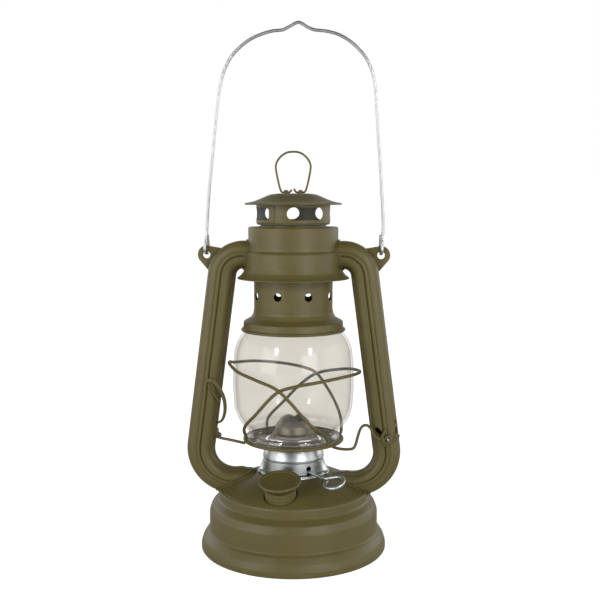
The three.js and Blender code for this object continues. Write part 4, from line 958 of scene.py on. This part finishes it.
def tube_route():
    """Places on the right tube's centre line, and how far along the lower bend each is."""
    upper = arc(TUBE_TOP_BEND, QUARTER, TUBE_SLANT, 22, TUBE_TOP_CENTRE)
    lower = arc(TUBE_LOW_BEND, TUBE_SLANT, -QUARTER - TUBE_TILT, 34, TUBE_LOW_CENTRE)
    places = [(x, z, 0.0) for x, z in [(TUBE_TOP_END, upper[0][1]), *upper]]
    places += run(upper[-1], lower[0], 16, 0.0)[:-1]
    places += [(x, z, index / 34) for index, (x, z) in enumerate(lower)]
    x, z = lower[-1]
    end = (x - TUBE_LOW_END * math.cos(TUBE_TILT), z - TUBE_LOW_END * math.sin(TUBE_TILT))
    return places + run((x, z), end, 3, 1.0)


def tube_section(grow):
    """Points round the tube: place outwards, depth, and the dip of the seam line round the top bend."""
    corner_radius = 6.5 + grow
    outer, inner, depth = TUBE_OUTER + grow, TUBE_INNER + grow, TUBE_DEPTH / 2 + grow
    points = []
    for cx, cy, start in ((1, 1, 0), (-1, 1, 1), (-1, -1, 2), (1, -1, 3)):
        seam = 43.0 if start == 0 else 47.0
        turns = [index * 90 / 8 for index in range(9)]
        if cx > 0:
            turns = sorted(turns[:4] + turns[5:] + [seam + step for step in (-4, -1.5, 0, 1.5, 4)])
        for turn in turns:
            angle = start * QUARTER + math.radians(turn)
            dip = SEAM_DIP if cx > 0 and turn == seam and grow == 0 else 0.0
            across = (outer if cx > 0 else -inner) - cx * corner_radius + corner_radius * math.cos(angle)
            points.append((across, cy * (depth - corner_radius) + corner_radius * math.sin(angle), dip))
        if start in (0, 2):
            for across, rise in TUBE_BEAD if cy > 0 else TUBE_BEAD[::-1]:
                points.append((across, cy * (depth + (rise if grow == 0 else 0)), 0.0))
        if start == 1:
            for out, place in INNER_RIDGE:
                points.append((-inner - out, place, 0.0))
    return points


def side_tube(side, grow=0.0):
    """One tube: its section, squeezed along the lower bend, is carried along the centre line."""
    places = tube_route()
    section = tube_section(grow)
    rings = []
    for index, (x, z, bend) in enumerate(places):
        before = places[max(index - 1, 0)]
        after = places[min(index + 1, len(places) - 1)]
        along = Vector((after[0] - before[0], after[1] - before[1])).normalized()
        squeeze = 1 - (1 - TUBE_FLAT[side]) * bend
        seam = min(max((z - SEAM_START) / SEAM_FADE, 0.0), 1.0)
        ring = []
        for across, depth, dip in section:
            reach = (across - dip * seam) * (squeeze if across < 0 else 1.0)
            ring.append((side * (x - along.y * reach) * MM, depth * MM, (z + along.x * reach) * MM))
        rings.append(ring)
    return drawn(rings)


def tank_core(grow):
    return core(TANK[1:-1] + DOME[1:], -1.0, grow)


def canopy_core(grow):
    return core(CANOPY_BAND[2:-2] + CANOPY_CAP[2:-1], 191.5, grow)


def lever_pockets():
    """Cuts of the right tube: a slanted pocket and two notches behind the lever."""
    pocket = moved(brick(*LEVER_POCKET, 0.6), at(59.8, 0, 85.3, math.radians(48), "Y"))
    return [pocket, *[brick(*notch) for notch in LEVER_NOTCHES]]


def build_side_tubes():
    for side, name in SIDES:
        cutters = [tank_core(0.3), canopy_core(0.25)] + (lever_pockets() if side > 0 else [])
        parts = [carved(side_tube(side), *cutters)]
        for grow, top, low in LOW_LIPS:
            ring = carved(side_tube(side, grow), tank_core(top), operation="INTERSECT")
            parts.append(carved(ring, tank_core(low)))
        flange = carved(side_tube(side, 0.9), canopy_core(1.3), operation="INTERSECT")
        parts.append(carved(flange, canopy_core(0.05)))
        piece(joined(*parts), "air_tube_" + name, "side_tube_" + name, sharp=42)


def ear(side):
    """A flat lug with a rimmed hole, standing off the top bend of a tube."""
    edge = arc(EAR_RADIUS, EAR_HEADING - EAR_WRAP, EAR_HEADING + EAR_WRAP, 24, (EAR_SPAN, EAR_LEVEL))
    root = [arc(EAR_ROOT, EAR_HEADING + flare, 0, 1, TUBE_TOP_CENTRE)[0] for flare in (EAR_FLARE, -EAR_FLARE)]
    plate = slab(edge + root, EAR_PLATE)
    softened(plate, [line for line in plate.edges if line.calc_face_angle() > 1.2], 0.2, 2)
    across = at(EAR_SPAN, 0, EAR_LEVEL, QUARTER)
    rim = moved(turned(EAR_RIM, 32), across)

    def pulled(points, share):
        """The points drawn in towards the hole."""
        kept = 1 - share
        return [(x * share + EAR_SPAN * kept, 0, z * share + EAR_LEVEL * kept) for x, z in points]

    start, end = pulled(root[::-1], 0.97)
    bead = wire([start, *pulled(edge, 0.93), end], EAR_BEAD, 2, 10)
    whole = joined(carved(plate, moved(peg(EAR_HOLE, 6.0), across)), rim, bead)
    return mirrored(whole) if side < 0 else whole


def cage_strap():
    """A flat band that turns round and thin towards its end, with a stay."""
    route = stations(smooth_route(GUIDE, 8), Vector((0, 1, 0)))
    places = []
    for index, place in enumerate(route):
        share = index / (len(route) - 1)
        places.append(place @ Matrix.Diagonal((1, 1.2 - 0.65 * share ** 2, 1, 1)))
    band = swept([(x * 0.75, y * 1.3) for x, y in circle(1.0, 16)], places)
    return joined(band, wire(GUIDE_STAY, THIN_WIRE, 6))


def build_fittings():
    for side, name in SIDES:
        piece(ear(side), "bail_lug_" + name, "ear_" + name)
    piece(cage_strap(), "cage_strap", "guide_loop")
    boss = moved(peg(1.7, 5.2), at(ARM[1][0], 0, ARM[1][2], QUARTER))
    lug = brick(*ARM_LUG, 0.5)
    piece(joined(boss, lug), "arm_lug", "arm_boss")
    piece(wire(ARM, sizes().lever_wire / MM), "deck_arm", "plate_arm", body="plate_arm")
    piece(wire(STAPLE, THIN_WIRE), "lever_guard", "lever_staple")
    pin = moved(turned_solid(RIVET, 24), at(LEVER_PIVOT[0], -10.0, LEVER_PIVOT[1], QUARTER))
    piece(pin, "lever_pin", "lever_rivet", "zinc")


def bail_eye(side):
    """The end of the bail: from inside the ear's hole half round the rim, and up to the neck."""
    half = [(side * (EAR_SPAN - 0.2 * y), y, BAIL_PIVOT + z) for y, z in arc(BAIL_EYE, 0, -math.pi, 8)]
    neck = (side * BAIL_NECK[side], -0.6, BAIL_PIVOT + 8.8)
    return [(side * (EAR_SPAN - 0.2), 1.7, BAIL_PIVOT + 9.4), *half, neck]


def build_bail():
    left = bail_eye(-1) + [(-x, 0, z) for x, z in BAIL_LEFT]
    right = bail_eye(1) + [(x, 0, z) for x, z in BAIL_RIGHT]
    bail = wire([*left, BAIL_APEX, *right[::-1]], sizes().bail_wire / MM, 6, 14)
    piece(bail, "carrying_bail", "bail", "bail_wire", body="bail")


def build_lever():
    x, z = LEVER_PIVOT
    route = LEVER + tuple((x + across, z + up) for across, up in LEVER_EYE)
    arm = wire([(x, LEVER_DEPTH, z) for x, z in route], sizes().lever_wire / MM, 7, 14)
    tail = wire([(x, LEVER_DEPTH, z) for x, z in LEVER_TAIL], 1.5, 6)
    piece(joined(arm, tail), "lever_wire", "lift_lever", body="lift_lever")


# Finishes of the CAD nodes that stay as they are
STAY = {
    "tank_floor": "paint", "fuel_plate": "inner_zinc", "filler_gasket": "rubber", "wick_tube": "inner_zinc",
    "wick": "cotton", "wick_wheel_inner": "inner_zinc", "wick_wheel_outer": "inner_zinc",
    "chimney_spring": "spring_steel",
}


def dress_nodes():
    for name, kind in STAY.items():
        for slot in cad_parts[name].material_slots:
            slot.material = material(kind)


# Lamps: turn from the front in degrees, distance, level, width and height in metres, and power
LAMPS = (
    ("left_softbox", -44, 1.6, 0.34, 0.95, 1.10, 9.8),
    ("right_softbox", 36, 1.6, 0.34, 0.90, 1.10, 9.8),
    ("left_wall", -85, 1.6, 0.40, 1.20, 0.90, 2.8),
    ("right_wall", 85, 1.6, 0.40, 1.20, 0.90, 4.0),
    ("left_back", -125, 1.6, 0.50, 1.00, 0.90, 3.0),
    ("right_back", 125, 1.6, 0.50, 1.00, 0.90, 4.0),
    ("left_spot", -31, 1.25, 0.80, 0.08, 0.06, 2.0),
    ("right_spot", 41, 1.25, 0.80, 0.08, 0.06, 2.0),
)
LAMP_AIM = Vector((0, 0, 0.15))
WORLD_LIGHT = 0.17
FLOOR_REACH = 4.0
CAMERA_PLACE = (0.0560, -0.6526, 0.243)
CAMERA_TURN = (math.radians(84.05), 0, math.radians(4.5))
CAMERA_LENS, SENSOR_WIDTH = 57.0, 36.0


def floor_material():
    """Pale floor that the camera sees as white where no shadow falls."""
    graph = Graph("studio_floor")
    path, seen = graph.seen()
    seen = path.sum("MAXIMUM", seen, path.twin("Is Glossy Ray") * 0.12)
    grain = graph.noise(graph.place(), 40.0, 3.0, 0.5)
    colour = graph.mix(grain, (0.80, 0.80, 0.79), (0.84, 0.84, 0.83))
    pale = graph.add("ShaderNodeBsdfDiffuse", {"Color": colour})
    strength = graph.levels(graph.length(graph.place()) * 0.5, (0.12, 0.84), (0.45, 1.0))
    glow = graph.add("ShaderNodeEmission", {"Color": (1, 1, 1), "Strength": strength})
    both = graph.add("ShaderNodeAddShader", {0: pale, 1: glow})
    return graph.finish(graph.add("ShaderNodeMixShader", {0: seen, 1: pale, 2: both}))


def build_world():
    """White for the camera, a backdrop that brightens towards the back for reflections, and a dim fill."""
    world = bpy.data.worlds.new("studio_world")
    bpy.context.scene.world = world
    graph = Graph("studio_world", world)
    path, seen = graph.seen()
    glossy = path.twin("Is Glossy Ray")
    depth = graph.add("ShaderNodeSeparateXYZ", {"Vector": graph.add("ShaderNodeTexCoord")}, "Y")
    upward = depth.twin("Z")
    backdrop = graph.levels(depth * 0.5 + 0.5, (0.45, 0.24), (0.85, 0.80))
    backdrop = backdrop * graph.levels(upward, (0.25, 1.0), (0.75, 0.25))
    fill = graph.levels(upward, (0.0, 1.2), (0.8, 0.2)) * WORLD_LIGHT
    around = glossy * backdrop + (1.0 - glossy) * fill
    strength = seen + (1.0 - seen) * around
    graph.finish(graph.add("ShaderNodeBackground", {"Color": (1, 1, 1), "Strength": strength}))


def build_stage():
    scene = bpy.context.scene
    mesh = bmesh.new()
    bmesh.ops.create_grid(mesh, x_segments=1, y_segments=1, size=FLOOR_REACH)
    floor = as_object(mesh, "studio_floor")
    floor.data.materials.append(floor_material())
    camera = bpy.data.cameras.new("photo_camera")
    camera.lens, camera.sensor_width = CAMERA_LENS, SENSOR_WIDTH
    eye = bpy.data.objects.new("photo_camera", camera)
    eye.location, eye.rotation_euler = CAMERA_PLACE, CAMERA_TURN
    scene.collection.objects.link(eye)
    scene.camera = eye
    for name, turn, distance, level, width, tall, power in LAMPS:
        light = bpy.data.lights.new(name, "AREA")
        light.shape = "RECTANGLE"
        light.size, light.size_y, light.energy = width, tall, power
        lamp = bpy.data.objects.new(name, light)
        angle = math.radians(turn)
        lamp.location = (distance * math.sin(angle), -distance * math.cos(angle), level)
        lamp.rotation_euler = (LAMP_AIM - lamp.location).to_track_quat("-Z", "Y").to_euler()
        scene.collection.objects.link(lamp)
    build_world()
    scene.view_settings.view_transform = "Standard"


class LANTERN_OT_stage(bpy.types.Operator):
    """Make the floor, the camera and the lights"""
    bl_idname = "lantern.stage"
    bl_label = "Stage"

    def execute(self, context):
        build_stage()
        return {"FINISHED"}


class LANTERN_OT_tank(bpy.types.Operator):
    """Make the fuel tank and its domed top"""
    bl_idname = "lantern.tank"
    bl_label = "Tank"

    def execute(self, context):
        build_tank()
        return {"FINISHED"}


class LANTERN_OT_filler(bpy.types.Operator):
    """Make the filler spout and its screw cap"""
    bl_idname = "lantern.filler"
    bl_label = "Filler"

    def execute(self, context):
        build_filler()
        return {"FINISHED"}


class LANTERN_OT_burner(bpy.types.Operator):
    """Make the burner and the wick knob"""
    bl_idname = "lantern.burner"
    bl_label = "Burner"

    def execute(self, context):
        build_burner()
        build_wick_shaft()
        return {"FINISHED"}


class LANTERN_OT_globe(bpy.types.Operator):
    """Make the globe, its deck and its guard wires"""
    bl_idname = "lantern.globe"
    bl_label = "Globe"

    def execute(self, context):
        build_globe_carrier()
        return {"FINISHED"}


class LANTERN_OT_chimney(bpy.types.Operator):
    """Make the chimney, the crown and the lift ring"""
    bl_idname = "lantern.chimney"
    bl_label = "Chimney"

    def execute(self, context):
        build_chimney()
        build_crown()
        return {"FINISHED"}


class LANTERN_OT_canopy(bpy.types.Operator):
    """Make the canopy"""
    bl_idname = "lantern.canopy"
    bl_label = "Canopy"

    def execute(self, context):
        build_canopy()
        return {"FINISHED"}


class LANTERN_OT_side_tubes(bpy.types.Operator):
    """Make the two air tubes"""
    bl_idname = "lantern.side_tubes"
    bl_label = "Air tubes"

    def execute(self, context):
        build_side_tubes()
        return {"FINISHED"}


class LANTERN_OT_fittings(bpy.types.Operator):
    """Make the lugs, the cage strap, the deck arm and the lever's pin and guard"""
    bl_idname = "lantern.fittings"
    bl_label = "Fittings"

    def execute(self, context):
        build_fittings()
        return {"FINISHED"}


class LANTERN_OT_bail(bpy.types.Operator):
    """Make the carrying bail"""
    bl_idname = "lantern.bail"
    bl_label = "Bail"

    def execute(self, context):
        build_bail()
        return {"FINISHED"}


class LANTERN_OT_lever(bpy.types.Operator):
    """Make the lift lever"""
    bl_idname = "lantern.lever"
    bl_label = "Lever"

    def execute(self, context):
        build_lever()
        return {"FINISHED"}


class LANTERN_OT_dress(bpy.types.Operator):
    """Give the CAD pieces that stay their finishes"""
    bl_idname = "lantern.dress"
    bl_label = "Dress the CAD pieces"

    def execute(self, context):
        dress_nodes()
        return {"FINISHED"}


OPERATORS = (
    LANTERN_OT_stage, LANTERN_OT_tank, LANTERN_OT_filler, LANTERN_OT_burner, LANTERN_OT_globe,
    LANTERN_OT_chimney, LANTERN_OT_canopy, LANTERN_OT_side_tubes, LANTERN_OT_fittings, LANTERN_OT_bail,
    LANTERN_OT_lever, LANTERN_OT_dress,
)


class LANTERN_PT_panel(bpy.types.Panel):
    """Lists the steps and the values of the lantern"""
    bl_idname = "LANTERN_PT_panel"
    bl_label = "Hurricane lantern"
    bl_space_type = "VIEW_3D"
    bl_region_type = "UI"
    bl_category = "Lantern"

    def draw(self, context):
        for group in (context.scene.lantern_sizes, context.scene.lantern_finishes):
            for name in group.__annotations__:
                self.layout.prop(group, name)
        for operator in OPERATORS:
            self.layout.operator(operator.bl_idname)


CLASSES = (Sizes, Finishes, *OPERATORS, LANTERN_PT_panel)


def register():
    for cls in CLASSES:
        bpy.utils.register_class(cls)
    bpy.types.Scene.lantern_sizes = bpy.props.PointerProperty(type=Sizes)
    bpy.types.Scene.lantern_finishes = bpy.props.PointerProperty(type=Finishes)


def unregister():
    del bpy.types.Scene.lantern_sizes
    del bpy.types.Scene.lantern_finishes
    for cls in reversed(CLASSES):
        bpy.utils.unregister_class(cls)


def main():
    register()
    for operator in OPERATORS:
        group, name = operator.bl_idname.split(".")
        getattr(getattr(bpy.ops, group), name)()


if __name__ == "__main__":
    main()
